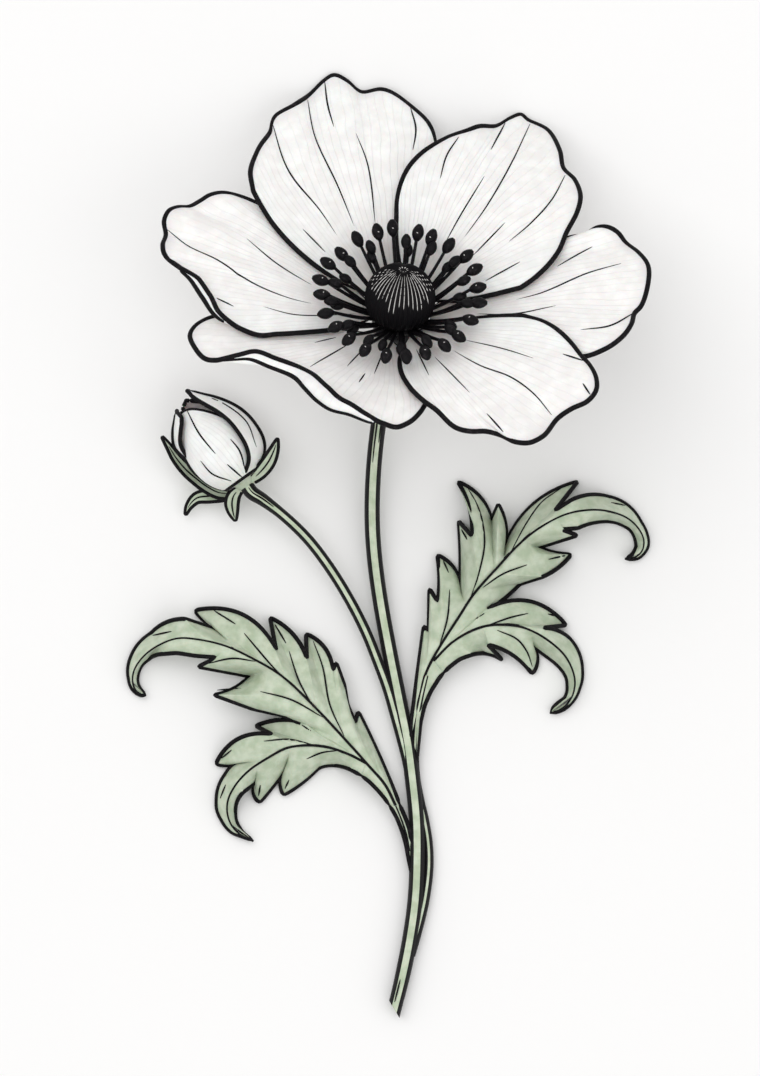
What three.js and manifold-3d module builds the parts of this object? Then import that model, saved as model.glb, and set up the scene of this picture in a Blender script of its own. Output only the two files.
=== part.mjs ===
// A cut stem of Japanese anemone lying on a table, seen from above: one open flower with six petals,
// a ring of stamens round a ribbed dome of carpels, one bud on its own stalk and two lobed leaves.
// Millimetres, +Z up, +Y along the stem towards the flower. Plan positions are measured from the
// middle of the flower's root, and the whole plant is moved at the end so that the origin is at the
// middle of its footprint, on the table.
import * as THREE from "three";
import { mergeVertices } from "three/addons/utils/BufferGeometryUtils.js";
import Module from "manifold-3d";

const wasm = await Module();
wasm.setup();

// ---------------------------------------------------------------- driving dimensions
const FACE_TILT = THREE.MathUtils.degToRad(38); // the flower's axis leans this far from upright
const ROOT_HEIGHT = 22.68; // of the petals' roots above the table
const DISH_DEPTH = 6.5; // how far the bowl of petals rises above their roots
const DISH_SPREAD = 18; // radius at which most of that rise is done
const PETAL_THICKNESS = 0.7;
const PETAL_ROOT_RADIUS = 5;
const PETAL_ROOT_SPREAD = THREE.MathUtils.degToRad(19); // half the angle that one root takes
const LOW_LAYER = -0.55; // an edge tucked under its neighbour
const HIGH_LAYER = 0.65; // an edge lying over its neighbour
const KNOB_RADIUS = 4.6;
const DOME_RADIUS = 5.9;
const DOME_CENTRE = 5.7; // above the petals' roots, along the flower's axis
const DOME_RIBS = 26;
const ANTHER_LENGTH = 2.6;
const ANTHER_RADIUS = 0.9;
const FILAMENT_RADIUS = 0.3;
const STEM_RADIUS = 1.3;
const STALK_RADIUS = 0.9;
const PETIOLE_RADIUS = 0.65;
const LEAF_THICKNESS = 0.75;
const KEEL_DEPTH = 1.2; // thickness of a leaf along its midribs
const RIB_OVERLAP = 0.3; // how far each half of a leaf reaches over its midrib
const BUD_LENGTH = 15.4;
const BUD_RADIUS = 5.2;
const BUD_BELLY = 6; // distance of the bud's widest ring from its base
const BRACT_THICKNESS = 0.65;
const GAP = 0.3; // between pieces that touch
const FINEST_DETAIL = 0.07; // smaller features are left out where pieces are joined

const COLOURS = {
  petal: 0xf4f2ee,
  dark: 0x1b1a20,
  stem: 0x9fb08c,
  leaf: 0xa9b997,
};

// ---------------------------------------------------------------- solids and meshes
function solidFrom(geometry) {
  const plain = geometry.clone();
  plain.deleteAttribute("normal");
  plain.deleteAttribute("uv");
  const merged = mergeVertices(plain, 1e-4);
  const index = merged.index.array;
  const kept = [];
  for (let i = 0; i < index.length; i += 3) {
    const [a, b, c] = [index[i], index[i + 1], index[i + 2]];
    if (a !== b && b !== c && c !== a) kept.push(a, b, c);
  }
  return new wasm.Manifold(
    new wasm.Mesh({
      numProp: 3,
      vertProperties: merged.attributes.position.array,
      triVerts: new Uint32Array(kept),
    }),
  );
}

// Joins overlapping pieces into one body, drops slivers and fills any air sealed between the pieces.
function union(solids) {
  const whole = solids.reduce((sum, next) => sum.add(next)).simplify(FINEST_DETAIL);
  return wasm.Manifold.compose(whole.decompose().filter((body) => body.volume() > 0.01));
}

function meshFrom(solid, name, colour, roughness = 0.6) {
  const made = solid.getMesh();
  const geometry = new THREE.BufferGeometry()
    .setAttribute("position", new THREE.BufferAttribute(made.vertProperties, 3))
    .setIndex(new THREE.BufferAttribute(made.triVerts, 1));
  geometry.computeVertexNormals();
  const material = new THREE.MeshStandardMaterial({ color: colour, roughness, metalness: 0 });
  const mesh = new THREE.Mesh(geometry, material);
  mesh.name = name;
  return mesh;
}

function geometryOf(points, faces) {
  const flat = points.flatMap((point) => point.toArray());
  return new THREE.BufferGeometry()
    .setAttribute("position", new THREE.Float32BufferAttribute(flat, 3))
    .setIndex(faces);
}

// Closes two grids of points, one above the other, into one body. Both are rows of equal length.
function closedBetween(top, bottom) {
  const rows = top.length;
  const columns = top[0].length;
  const points = [...top.flat(), ...bottom.flat()];
  const at = (layer, i, j) => layer * rows * columns + i * columns + j;
  const faces = [];
  const quad = (a, b, c, d) => faces.push(a, b, c, a, c, d);
  for (let i = 0; i < rows - 1; i++) {
    for (let j = 0; j < columns - 1; j++) {
      quad(at(0, i, j), at(0, i + 1, j), at(0, i + 1, j + 1), at(0, i, j + 1));
      faces.push(at(1, i, j), at(1, i + 1, j + 1), at(1, i + 1, j));
      faces.push(at(1, i, j), at(1, i, j + 1), at(1, i + 1, j + 1));
    }
  }
  for (let j = 0; j < columns - 1; j++) {
    quad(at(0, 0, j), at(0, 0, j + 1), at(1, 0, j + 1), at(1, 0, j));
    quad(at(0, rows - 1, j + 1), at(0, rows - 1, j), at(1, rows - 1, j), at(1, rows - 1, j + 1));
  }
  for (let i = 0; i < rows - 1; i++) {
    quad(at(0, i + 1, 0), at(0, i, 0), at(1, i, 0), at(1, i + 1, 0));
    quad(at(0, i, columns - 1), at(0, i + 1, columns - 1), at(1, i + 1, columns - 1), at(1, i, columns - 1));
  }
  const made = solidFrom(geometryOf(points, faces));
  return made.volume() >= 0 ? made : solidFrom(geometryOf(points, faces.reverse()));
}

const evenSteps = (steps) => Array.from({ length: steps + 1 }, (_, i) => i / steps);

// A blade of even thickness along a surface given as a function of u and v, each from 0 to 1. Its
// rows stand at the given values of u.
function bladeAlong(surface, uStations, vSteps, thickness) {
  const step = 1e-3;
  const top = [];
  const bottom = [];
  for (let i = 0; i < uStations.length; i++) {
    top.push([]);
    bottom.push([]);
    for (let j = 0; j <= vSteps; j++) {
      const [u, v] = [uStations[i], j / vSteps];
      const [u0, u1] = [Math.max(0, u - step), Math.min(1, u + step)];
      const [v0, v1] = [Math.max(0, v - step), Math.min(1, v + step)];
      const alongU = surface(u1, v).sub(surface(u0, v));
      const alongV = surface(u, v1).sub(surface(u, v0));
      const half = alongU.cross(alongV).normalize().multiplyScalar(thickness / 2);
      top[i].push(surface(u, v).add(half));
      bottom[i].push(surface(u, v).sub(half));
    }
  }
  return closedBetween(top, bottom);
}

// A round bar along a curve, with its radius a function of the share of the curve's length. Its rings
// stand at the given shares, and each ring's frame is the last one turned with the curve.
function barAlong(curve, radiusAt, sides, stations) {
  const shares = Array.isArray(stations) ? stations : evenSteps(stations);
  const rings = shares.length;
  const points = [];
  const faces = [];
  let normal = new THREE.Vector3(0.31, 0.17, 0.93);
  for (const share of shares) {
    const centre = curve.getPointAt(share);
    const tangent = curve.getTangentAt(share);
    normal = normal.addScaledVector(tangent, -normal.dot(tangent)).normalize();
    const binormal = tangent.clone().cross(normal);
    for (let k = 0; k < sides; k++) {
      const angle = (2 * Math.PI * k) / sides;
      const out = normal.clone().multiplyScalar(Math.cos(angle)).addScaledVector(binormal, Math.sin(angle));
      points.push(centre.clone().addScaledVector(out, radiusAt(share)));
    }
  }
  const at = (i, k) => i * sides + (k % sides);
  for (let i = 0; i < rings - 1; i++) {
    for (let k = 0; k < sides; k++) {
      faces.push(at(i, k), at(i, k + 1), at(i + 1, k + 1), at(i, k), at(i + 1, k + 1), at(i + 1, k));
    }
  }
  const [first, last] = [points.length, points.length + 1];
  points.push(curve.getPointAt(0), curve.getPointAt(1));
  for (let k = 0; k < sides; k++) {
    faces.push(first, at(0, k + 1), at(0, k), last, at(rings - 1, k), at(rings - 1, k + 1));
  }
  return solidFrom(geometryOf(points, faces));
}

function turned(profile, sides) {
  const points = profile.map(([radius, height]) => new THREE.Vector2(radius, height));
  const geometry = new THREE.LatheGeometry(points, sides);
  geometry.rotateX(Math.PI / 2); // the lathe's axis becomes +Z
  return solidFrom(geometry);
}

const curveThrough = (points) =>
  new THREE.CatmullRomCurve3(points.map(([x, y, z]) => new THREE.Vector3(x, y, z)), false, "centripetal");
const mix = THREE.MathUtils.lerp;
const smooth = (x) => THREE.MathUtils.smoothstep(x, 0, 1);

// ---------------------------------------------------------------- petals, in the flower's own frame
const dishHeight = (radius) => DISH_DEPTH * (1 - Math.exp(-((radius / DISH_SPREAD) ** 2)));

// Where a point of the dish lies that is seen at (x, y) from above, a given lift above the dish.
function onDish(x, y, lift) {
  let across = y / Math.cos(FACE_TILT);
  for (let turn = 0; turn < 12; turn++) {
    const height = dishHeight(Math.hypot(x, across)) + lift;
    across = (y - height * Math.sin(FACE_TILT)) / Math.cos(FACE_TILT);
  }
  return new THREE.Vector3(x, across, dishHeight(Math.hypot(x, across)) + lift);
}

// Each petal: the direction of its root, how far its two side edges bow out as a share of their
// length, the layers of those edges, and its outline seen from above, clockwise, as [x, y, lift].
// A folded stretch of rim adds how far the rim comes back over the petal, as [x, y, rise].
const PETALS = {
  petal_upper_left: {
    root: 112,
    bows: [0.15, -0.08],
    layers: [HIGH_LAYER, LOW_LAYER],
    outline: [
      [-24.7, 24, 1.4], [-23.7, 28.3, 0.9], [-21.6, 31.4, -0.4], [-20.8, 34, 0.6], [-17.6, 35.8, 1.2],
      [-15.2, 37.6, -0.2], [-12.6, 40, 0.4], [-11, 40.8, 0.9], [-9.1, 40, 0.6], [-6.6, 38.2, -0.6],
      [-2.8, 38.4, 0.4], [1.5, 36, -0.6], [4.7, 32.8, -1.4], [5.8, 29.6, -1.6], [5.6, 25.4, -1.2],
    ],
  },
  petal_upper_right: {
    root: 59,
    bows: [0, -0.08],
    layers: [HIGH_LAYER, HIGH_LAYER],
    outline: [
      [-0.3, 20.8, 0.9], [1, 24.2, 1], [4.2, 28, 0.7], [7.7, 30.3, 0], [11, 31.4, 0.2], [13.3, 32.3, -0.4],
      [16.2, 32.5, -2.1], [18.7, 33.8, -2.8], [20.2, 34.2, -3.3], [21.3, 33.3, -3.5], [24.7, 31.7, -2.2],
      [26.6, 28.2, -0.8], [27.2, 25.2, -0.7], [29.1, 23.3, 0.2], [30, 20.5, 0.9], [29.4, 17.7, 1],
      [28, 13.8, 0.9], [26.6, 9.8, 1], [23.5, 6, 1],
    ],
  },
  petal_right: {
    root: 5,
    bows: [0.02, -0.03],
    layers: [LOW_LAYER, LOW_LAYER],
    outline: [
      [25.6, 12.2, -1], [28.2, 13.5, -1], [30.8, 14.2, -0.7], [32.8, 15.2, -0.1], [34.6, 15.2, 0.1],
      [36.2, 14.4, -0.3], [37.5, 12.8, -1.2], [39.7, 10.8, -0.6], [41, 9.3, 0], [41.3, 7.8, 0.2],
      [40.9, 4.7, -0.2], [40, 2.3, -0.9], [38.9, 1, -1.3], [38.3, -1, -0.6], [36.7, -3, 0.1],
      [34.2, -5, 0], [30.3, -6.2, -0.6], [26.8, -6, -0.9],
    ],
  },
  petal_lower_right: {
    root: -52,
    bows: [0.06, -0.13],
    layers: [HIGH_LAYER, HIGH_LAYER],
    outline: [
      [25.4, -1.9, 0.9], [28.5, -4.3, 0.8], [30, -6.2, 0.6], [31.3, -7.8, 0.3], [32.6, -10, 0.6],
      [32.3, -12, 0.9], [30.8, -13.8, 0.4], [28.3, -15.1, -0.2], [26, -16.6, -0.6], [23.5, -19.6, 0.4],
      [21.3, -20.7, 0.9], [19.2, -20.5, 0.7], [16.7, -19.3, 0], [14.2, -18.8, -0.5], [11.7, -18.8, 0],
      [9.3, -18.1, 0.7], [6, -15.3, 0.6], [4.2, -14, 0.8], [2, -12.1, 0.9],
    ],
  },
  petal_lower_left: {
    root: -124,
    bows: [0.05, 0.02],
    layers: [LOW_LAYER, LOW_LAYER],
    outline: [
      [5.4, -11.5, -0.8], [4.3, -14, -0.7], [3.2, -15.6, -0.6], [1.3, -17.3, -0.5], [-0.8, -18.1, -0.4],
      [-3.3, -17.7, -0.2, [0.1, 0.4, 0.3]], [-5.8, -17.4, 0, [0.2, 1.5, 1.4]],
      [-8.7, -16.6, 0, [0.8, 2.2, 2]], [-12.2, -16, 0, [2, 2.9, 2.6]], [-14.4, -14.8, 0, [2.5, 3.3, 2.6]],
      [-16.7, -12.5, -0.2, [2.7, 2.9, 2.2]], [-18.4, -10.4, -0.6, [2.1, 2.1, 1.6]],
      [-22.3, -9, -0.4, [1.6, 2.4, 1.8]], [-24.7, -8.4, -0.2, [1, 2.9, 2]],
      [-27.4, -7.9, 0, [0.5, 1.8, 1.4]], [-30.5, -7.2, 0.2, [0.1, 0.3, 0.3]], [-32.2, -6.6, 0.2],
      [-33.9, -5, 0], [-34.8, -3, -0.4], [-34.1, -1.4, -0.7], [-32.5, -0.2, -0.9], [-29, 0.9, -0.9],
    ],
  },
  petal_left: {
    root: 171,
    bows: [0.1, -0.02],
    layers: [HIGH_LAYER, LOW_LAYER],
    outline: [
      [-23.6, -2.6, 0.7], [-26.7, -1.9, 0.6, [0, 0.3, 0.3]], [-28.8, -1.1, 0.5, [0.4, 0.7, 0.9]],
      [-31, 0.3, 0.4, [0.9, 0.9, 1.3]], [-33.3, 3, 0.2, [1.8, 0.9, 1.5]],
      [-35.3, 6.1, 0, [1.9, 0.5, 1.3]], [-36.9, 8.4, -0.2, [0.4, 0.1, 0.4]], [-38, 9.5, -0.3],
      [-39.1, 10.7, 0.4], [-39.4, 12.4, 0.6], [-38.9, 14.2, -0.4], [-39.2, 16.2, 0.4],
      [-38.5, 17.9, 0.8], [-37, 18.7, 0.2], [-35, 18.8, -0.6], [-33.3, 19.6, -0.4], [-31.6, 20.6, 0],
      [-29.6, 21.1, 0], [-27.5, 20.8, -0.4], [-23.8, 19.2, -0.9], [-21, 17.4, -0.9],
    ],
  },
};

function petalSurface({ root, bows, layers, outline }) {
  const rimShift = ([x, y, lift, fold = [0, 0, 0]]) =>
    onDish(x + fold[0], y + fold[1], lift + fold[2]).sub(onDish(x, y, lift)).toArray();
  const edge = curveThrough(outline.map(([x, y, lift]) => onDish(x, y, lift).toArray()));
  const fold = curveThrough(outline.map(rimShift));
  const rootAngle = THREE.MathUtils.degToRad(root);
  const FLAT_SHARE = 0.78; // of u, before the rim begins
  return (u, v) => {
    const share = edge.getUtoTmapping(v);
    const end = edge.getPoint(share);
    const shift = fold.getPoint(share);
    const angle = rootAngle + PETAL_ROOT_SPREAD * (1 - 2 * v);
    const start = new THREE.Vector3(Math.cos(angle), Math.sin(angle), 0).multiplyScalar(PETAL_ROOT_RADIUS);
    const chord = end.clone().sub(start).setZ(0);
    const sideways = new THREE.Vector3(-chord.y, chord.x, 0);
    const layer = mix(layers[0], layers[1], smooth(v));
    const flat = (t) => {
      const p = start.clone().addScaledVector(chord, t);
      p.addScaledVector(sideways, mix(bows[0], bows[1], v) * 4 * t * (1 - t));
      const radius = Math.hypot(p.x, p.y);
      const endLift = end.z - dishHeight(Math.hypot(end.x, end.y));
      return p.setZ(dishHeight(radius) + mix(layer, endLift, t ** 3));
    };
    if (u <= FLAT_SHARE) return flat(u);
    const w = (u - FLAT_SHARE) / (1 - FLAT_SHARE);
    const folded = smooth(shift.length() / 1.2); // 0 on an unfolded rim
    const into = flat(FLAT_SHARE);
    const beyond = end.clone().sub(into);
    const bend = end.clone().addScaledVector(beyond, 0.12);
    const one = flat(mix(FLAT_SHARE, 1, 1 / 3)).lerp(bend, folded);
    const two = flat(mix(FLAT_SHARE, 1, 2 / 3)).lerp(bend.clone().addScaledVector(shift, 0.75), folded);
    const rim = end.clone().add(shift);
    return new THREE.CubicBezierCurve3(into, one, two, rim).getPoint(w);
  };
}

const FOLDED_ROWS = [0, 0.2, 0.42, 0.62, 0.78, 0.86, 0.91, 0.955, 1];
const petalSolids = Object.entries(PETALS).map(([name, petal]) => [
  name,
  bladeAlong(
    petalSurface(petal),
    petal.outline.some((point) => point[3]) ? FOLDED_ROWS : evenSteps(8),
    petal.outline.some((point) => point[3]) ? 26 : 19,
    PETAL_THICKNESS,
  ),
]);

// ---------------------------------------------------------------- the flower's middle
const KNOB_TOP = 1;
const RING_BOTTOM = KNOB_TOP + GAP;
const RING_TOP = RING_BOTTOM + 0.7;
const DOME_UNDERSIDE = RING_TOP + 4.8 * GAP;
const DOME_NECK = 2.9;

function dome() {
  const rings = 9;
  const around = DOME_RIBS * 2; // a ridge and a groove for each rib
  const lowest = Math.asin((DOME_UNDERSIDE - DOME_CENTRE) / DOME_RADIUS);
  const points = [];
  const faces = [];
  for (let i = 0; i < rings; i++) {
    const latitude = mix(lowest, Math.PI / 2, i / rings);
    const depth = 0.34 * Math.cos(latitude);
    for (let k = 0; k < around; k++) {
      const angle = (2 * Math.PI * k) / around;
      const radius = DOME_RADIUS - (k % 2 ? depth : 0);
      const x = radius * Math.cos(latitude) * Math.cos(angle);
      const y = radius * Math.cos(latitude) * Math.sin(angle);
      points.push(new THREE.Vector3(x, y, DOME_CENTRE + (i ? radius : DOME_RADIUS) * Math.sin(latitude)));
    }
  }
  const [pole, foot] = [points.length, points.length + 1];
  points.push(new THREE.Vector3(0, 0, DOME_CENTRE + DOME_RADIUS), new THREE.Vector3(0, 0, DOME_UNDERSIDE));
  const at = (i, k) => i * around + (k % around);
  for (let k = 0; k < around; k++) {
    for (let i = 0; i < rings - 1; i++) {
      faces.push(at(i, k), at(i, k + 1), at(i + 1, k + 1), at(i, k), at(i + 1, k + 1), at(i + 1, k));
    }
    faces.push(at(rings - 1, k), at(rings - 1, k + 1), pole, foot, at(0, k + 1), at(0, k));
  }
  const neckTop = DOME_UNDERSIDE + 0.5; // inside the globe
  const neck = turned([[0, RING_BOTTOM], [DOME_NECK, RING_BOTTOM], [DOME_NECK, neckTop], [0, neckTop]], 20);
  return union([solidFrom(geometryOf(points, faces)), neck]);
}

// Stamens stand in whorls: how many, how far out and how high their anthers are, and the first angle.
const WHORLS = [
  { count: 24, reach: 11.9, height: 6.9, first: 0.06 },
  { count: 14, reach: 10.1, height: 6.4, first: 0.2 },
  { count: 10, reach: 9.2, height: 5, first: 0.1 },
];

function stamens() {
  const innerRadius = DOME_NECK + GAP;
  const outerRadius = KNOB_RADIUS;
  const ring = turned(
    [
      [innerRadius, RING_BOTTOM], [outerRadius, RING_BOTTOM], [outerRadius, RING_TOP],
      [innerRadius, RING_TOP], [innerRadius, RING_BOTTOM],
    ],
    30,
  );
  const pieces = [ring];
  const footRadius = (innerRadius + outerRadius) / 2;
  const footHeight = (RING_BOTTOM + RING_TOP) / 2;
  let seed = 7;
  const random = () => {
    seed = (seed * 1103515245 + 12345) % 2147483648;
    return seed / 2147483648 - 0.5;
  };
  for (const { count, reach, height, first } of WHORLS) {
    for (let k = 0; k < count; k++) {
      const angle = first + (2 * Math.PI * (k + 0.3 * random())) / count;
      const far = reach + 0.9 * random();
      const high = height + 0.8 * random();
      const out = (radius, z) => new THREE.Vector3(radius * Math.cos(angle), radius * Math.sin(angle), z);
      const knee = out(mix(footRadius, far, 0.45), footHeight + 0.23 * high);
      const foot = out(footRadius, footHeight);
      const filament = new THREE.QuadraticBezierCurve3(foot, knee, out(far, high));
      const anther = new THREE.LineCurve3(
        filament.getPoint(1),
        filament.getPoint(1).addScaledVector(filament.getTangent(1), ANTHER_LENGTH),
      );
      const path = new THREE.CurvePath();
      path.add(filament);
      path.add(anther);
      const start = filament.getLength() / path.getLength();
      const radiusAt = (share) => {
        const t = (share - start) / (1 - start);
        return t <= 0.01 ? FILAMENT_RADIUS : ANTHER_RADIUS * Math.sin(Math.PI * (0.14 + 0.74 * t));
      };
      const stations = [0, 0.5 * start, start, mix(start, 1, 0.45), 1];
      pieces.push(barAlong(path, radiusAt, 5, stations));
    }
  }
  return union(pieces);
}

// ---------------------------------------------------------------- stem, bud stalk and flower's knob
const flowerToPlant = new THREE.Matrix4()
  .makeTranslation(0, 0, ROOT_HEIGHT)
  .multiply(new THREE.Matrix4().makeRotationX(-FACE_TILT));
const STEM_TOP = new THREE.Vector3(0, 0, -3).applyMatrix4(flowerToPlant);
const STEM_BEND = new THREE.Vector3(-0.5, -0.6, -7).applyMatrix4(flowerToPlant);

const stemPath = curveThrough([
  STEM_TOP.toArray(), STEM_BEND.toArray(), [-2.4, -10, 11.2], [-3.4, -16, 6.2], [-4.2, -22.5, 3.8],
  [-4.6, -29, 2.9], [-4.6, -34.5, 2.5], [-4.2, -40, 2.2], [-3.3, -46.7, 1.9], [-1.8, -55, 1.6],
  [-0.2, -63, 1.4], [0.8, -70, 1.3], [1.8, -76.7, 1.3], [2.3, -83.3, 1.3], [2.5, -90, 1.3],
  [2.2, -96.7, 1.3], [1.5, -103.3, 1.3], [0.3, -110, 1.3], [-0.7, -115.3, 1.3],
]);

const BUD_BASE = new THREE.Vector3(-26.2, -26.7, 6.3);
const BUD_AXIS = new THREE.Vector3(-0.583, 0.812, -0.01).normalize();
const STALK_END = BUD_BASE.clone().addScaledVector(BUD_AXIS, -2.5);
const stalkPath = curveThrough([
  [1, -72.5, 1.5], [-0.8, -65.8, 1.5], [-2.1, -61.3, 1.8], [-3.8, -56.7, 2.1], [-5.7, -52, 2.5],
  [-8.4, -46.7, 3], [-11.8, -41.2, 3.7], [-15.4, -36.5, 4.4], [-19.2, -32.8, 5.1], [-22.8, -30, 5.7],
  STALK_END.toArray(),
]);

function stem() {
  const knob = turned(
    [
      [0, -4.4], [1.5, -4.2], [2, -3.3], [3.9, -2.1], [KNOB_RADIUS, -1.4], [KNOB_RADIUS, 0.7],
      [4.2, KNOB_TOP], [0, KNOB_TOP],
    ],
    20,
  ).transform(flowerToPlant.elements);
  const main = barAlong(stemPath, (t) => STEM_RADIUS * (1 + 0.12 * smooth((t - 0.93) / 0.07)), 12, 30);
  const side = barAlong(stalkPath, (t) => STALK_RADIUS * (1 + 0.35 * smooth((t - 0.86) / 0.14)), 8, 20);
  return union([main, side, knob]);
}

// ---------------------------------------------------------------- bud
const budRadius = (w) => {
  const away = w < BUD_BELLY ? (w - BUD_BELLY) / 6.5 : (w - BUD_BELLY) / (BUD_LENGTH - BUD_BELLY);
  return BUD_RADIUS * Math.max(0, 1 - away * away) ** (w < BUD_BELLY ? 0.5 : 0.8);
};
// The bud's own frame: z runs from its foot to its tip, y is up and x is to its left as it lies.
const budLeft = new THREE.Vector3(-0.812, -0.583, 0).normalize();
const budUp = new THREE.Vector3().crossVectors(BUD_AXIS, budLeft);
const budToPlant = new THREE.Matrix4().makeBasis(budLeft, budUp, BUD_AXIS).setPosition(BUD_BASE);

// A petal wrapped round the bud: facing is the angle of its middle from straight up, to the right.
function wrappedPetal({ facing, halfWidth, from, to, radiusAt }) {
  const middle = THREE.MathUtils.degToRad(90 + facing);
  return (u, v) => {
    const w = mix(from, to, u);
    const radius = radiusAt(w);
    const width = halfWidth * Math.sin(Math.PI * (0.14 + 0.86 * u ** 0.9)) ** 0.6 + 0.12;
    const angle = middle + Math.min(Math.PI * 0.9, width / Math.max(radius, 1)) * (1 - 2 * v);
    const near = Math.max(radius, 0.35);
    return new THREE.Vector3(near * Math.cos(angle), near * Math.sin(angle), w);
  };
}

function budPetals() {
  const core = turned(
    [[0, 0.7], ...[0.7, 2, 4, 6.5, 9.5, 12, 13.6].map((w) => [budRadius(w) - 0.15, w]), [0, 14.4]],
    14,
  );
  const shells = [
    { facing: 180, halfWidth: 6.2, from: 1.7, to: 15.2, radiusAt: (w) => budRadius(w * 0.97) },
    { facing: -82, halfWidth: 5.2, from: 1.7, to: 15.4, radiusAt: (w) => budRadius(w * 0.96) + 0.25 },
    { facing: 4, halfWidth: 5, from: 1.7, to: 14.6, radiusAt: (w) => budRadius(w) + 0.5 },
  ].map((petal) => bladeAlong(wrappedPetal(petal), evenSteps(7), 5, PETAL_THICKNESS));
  return union([core, ...shells]).transform(budToPlant.elements);
}

const hoodRadius = new THREE.SplineCurve(
  [[1.9, 5.7], [3, 6.4], [5, 6.95], [7, 7.05], [9.3, 6.7], [11.5, 5.8], [13.7, 4.4], [15.5, 3], [17.5, 1.5]]
    .map(([w, radius]) => new THREE.Vector2(w, radius)),
);
function budOuterPetal() {
  const shape = (u, v) => {
    const at = hoodRadius.getPoint(u);
    const width = 4.3 * Math.sin(Math.PI * (0.13 + 0.87 * u ** 0.85)) ** 0.7 + 0.15;
    const middle = THREE.MathUtils.degToRad(90 + 68);
    const angle = middle + (width / Math.max(at.y, 2)) * (1 - 2 * v);
    return new THREE.Vector3(at.y * Math.cos(angle), at.y * Math.sin(angle), at.x);
  };
  return bladeAlong(shape, evenSteps(10), 6, PETAL_THICKNESS).transform(budToPlant.elements);
}

// The bracts round the bud's foot, in the bud's frame: the middle line of each, half its width, and
// the way its upper face looks.
const BRACTS = [
  {
    line: [
      [0.6, -0.6, -0.8], [2.6, -1.7, -0.7], [4.5, -2.6, 0.6], [5.65, -2.7, 2.8], [6.3, -2.5, 4.9],
      [6.8, -2, 7], [7, -1.1, 9.6], [6.85, 0, 11.7], [6.74, 1.2, 13.6],
    ],
    half: 1.05,
    facing: [-0.75, 0.66, 0],
  },
  {
    line: [[-0.9, 0.3, -0.8], [-3, 0.9, -0.6], [-5.2, 1.6, 0], [-7.1, 2.4, 1], [-8.67, 3.4, 2.14]],
    half: 1.05,
    facing: [0.2, 1, -0.2],
  },
  {
    line: [
      [1, -0.8, -0.8], [3.6, -2.7, -0.2], [6, -3.7, 1.1], [8, -4.2, 2.1], [9.8, -4.6, 1.8],
      [11.06, -4.9, 1.05],
    ],
    half: 1.05,
    facing: [0, 1, 0.1],
  },
  {
    line: [[1, -0.2, -0.7], [2.6, -0.6, -1.1], [3.5, -1.2, -1.8], [4.2, -2.2, -2.9], [4.9, -3.6, -4.6]],
    half: 1.05,
    facing: [0.3, 1, -0.3],
  },
];

function bract({ line, half, facing }) {
  const middle = curveThrough(line);
  const up = new THREE.Vector3(...facing).normalize();
  return bladeAlong(
    (u, v) => {
      const across = middle.getTangentAt(u).cross(up).normalize();
      const width = half * Math.sin(Math.PI * (0.16 + 0.82 * u)) ** 0.8;
      const cupped = 0.35 * width * (1 - 2 * v) ** 2;
      return middle.getPointAt(u).addScaledVector(across, width * (1 - 2 * v)).addScaledVector(up, cupped);
    },
    evenSteps(6),
    2,
    BRACT_THICKNESS,
  );
}

function budBracts() {
  const cup = turned([[0, -1.8], [1.4, -1.7], [2.3, -0.9], [2.4, -0.1], [1.9, 0.1], [0, 0.1]], 12);
  return union([cup, ...BRACTS.map(bract)]).transform(budToPlant.elements);
}

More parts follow.
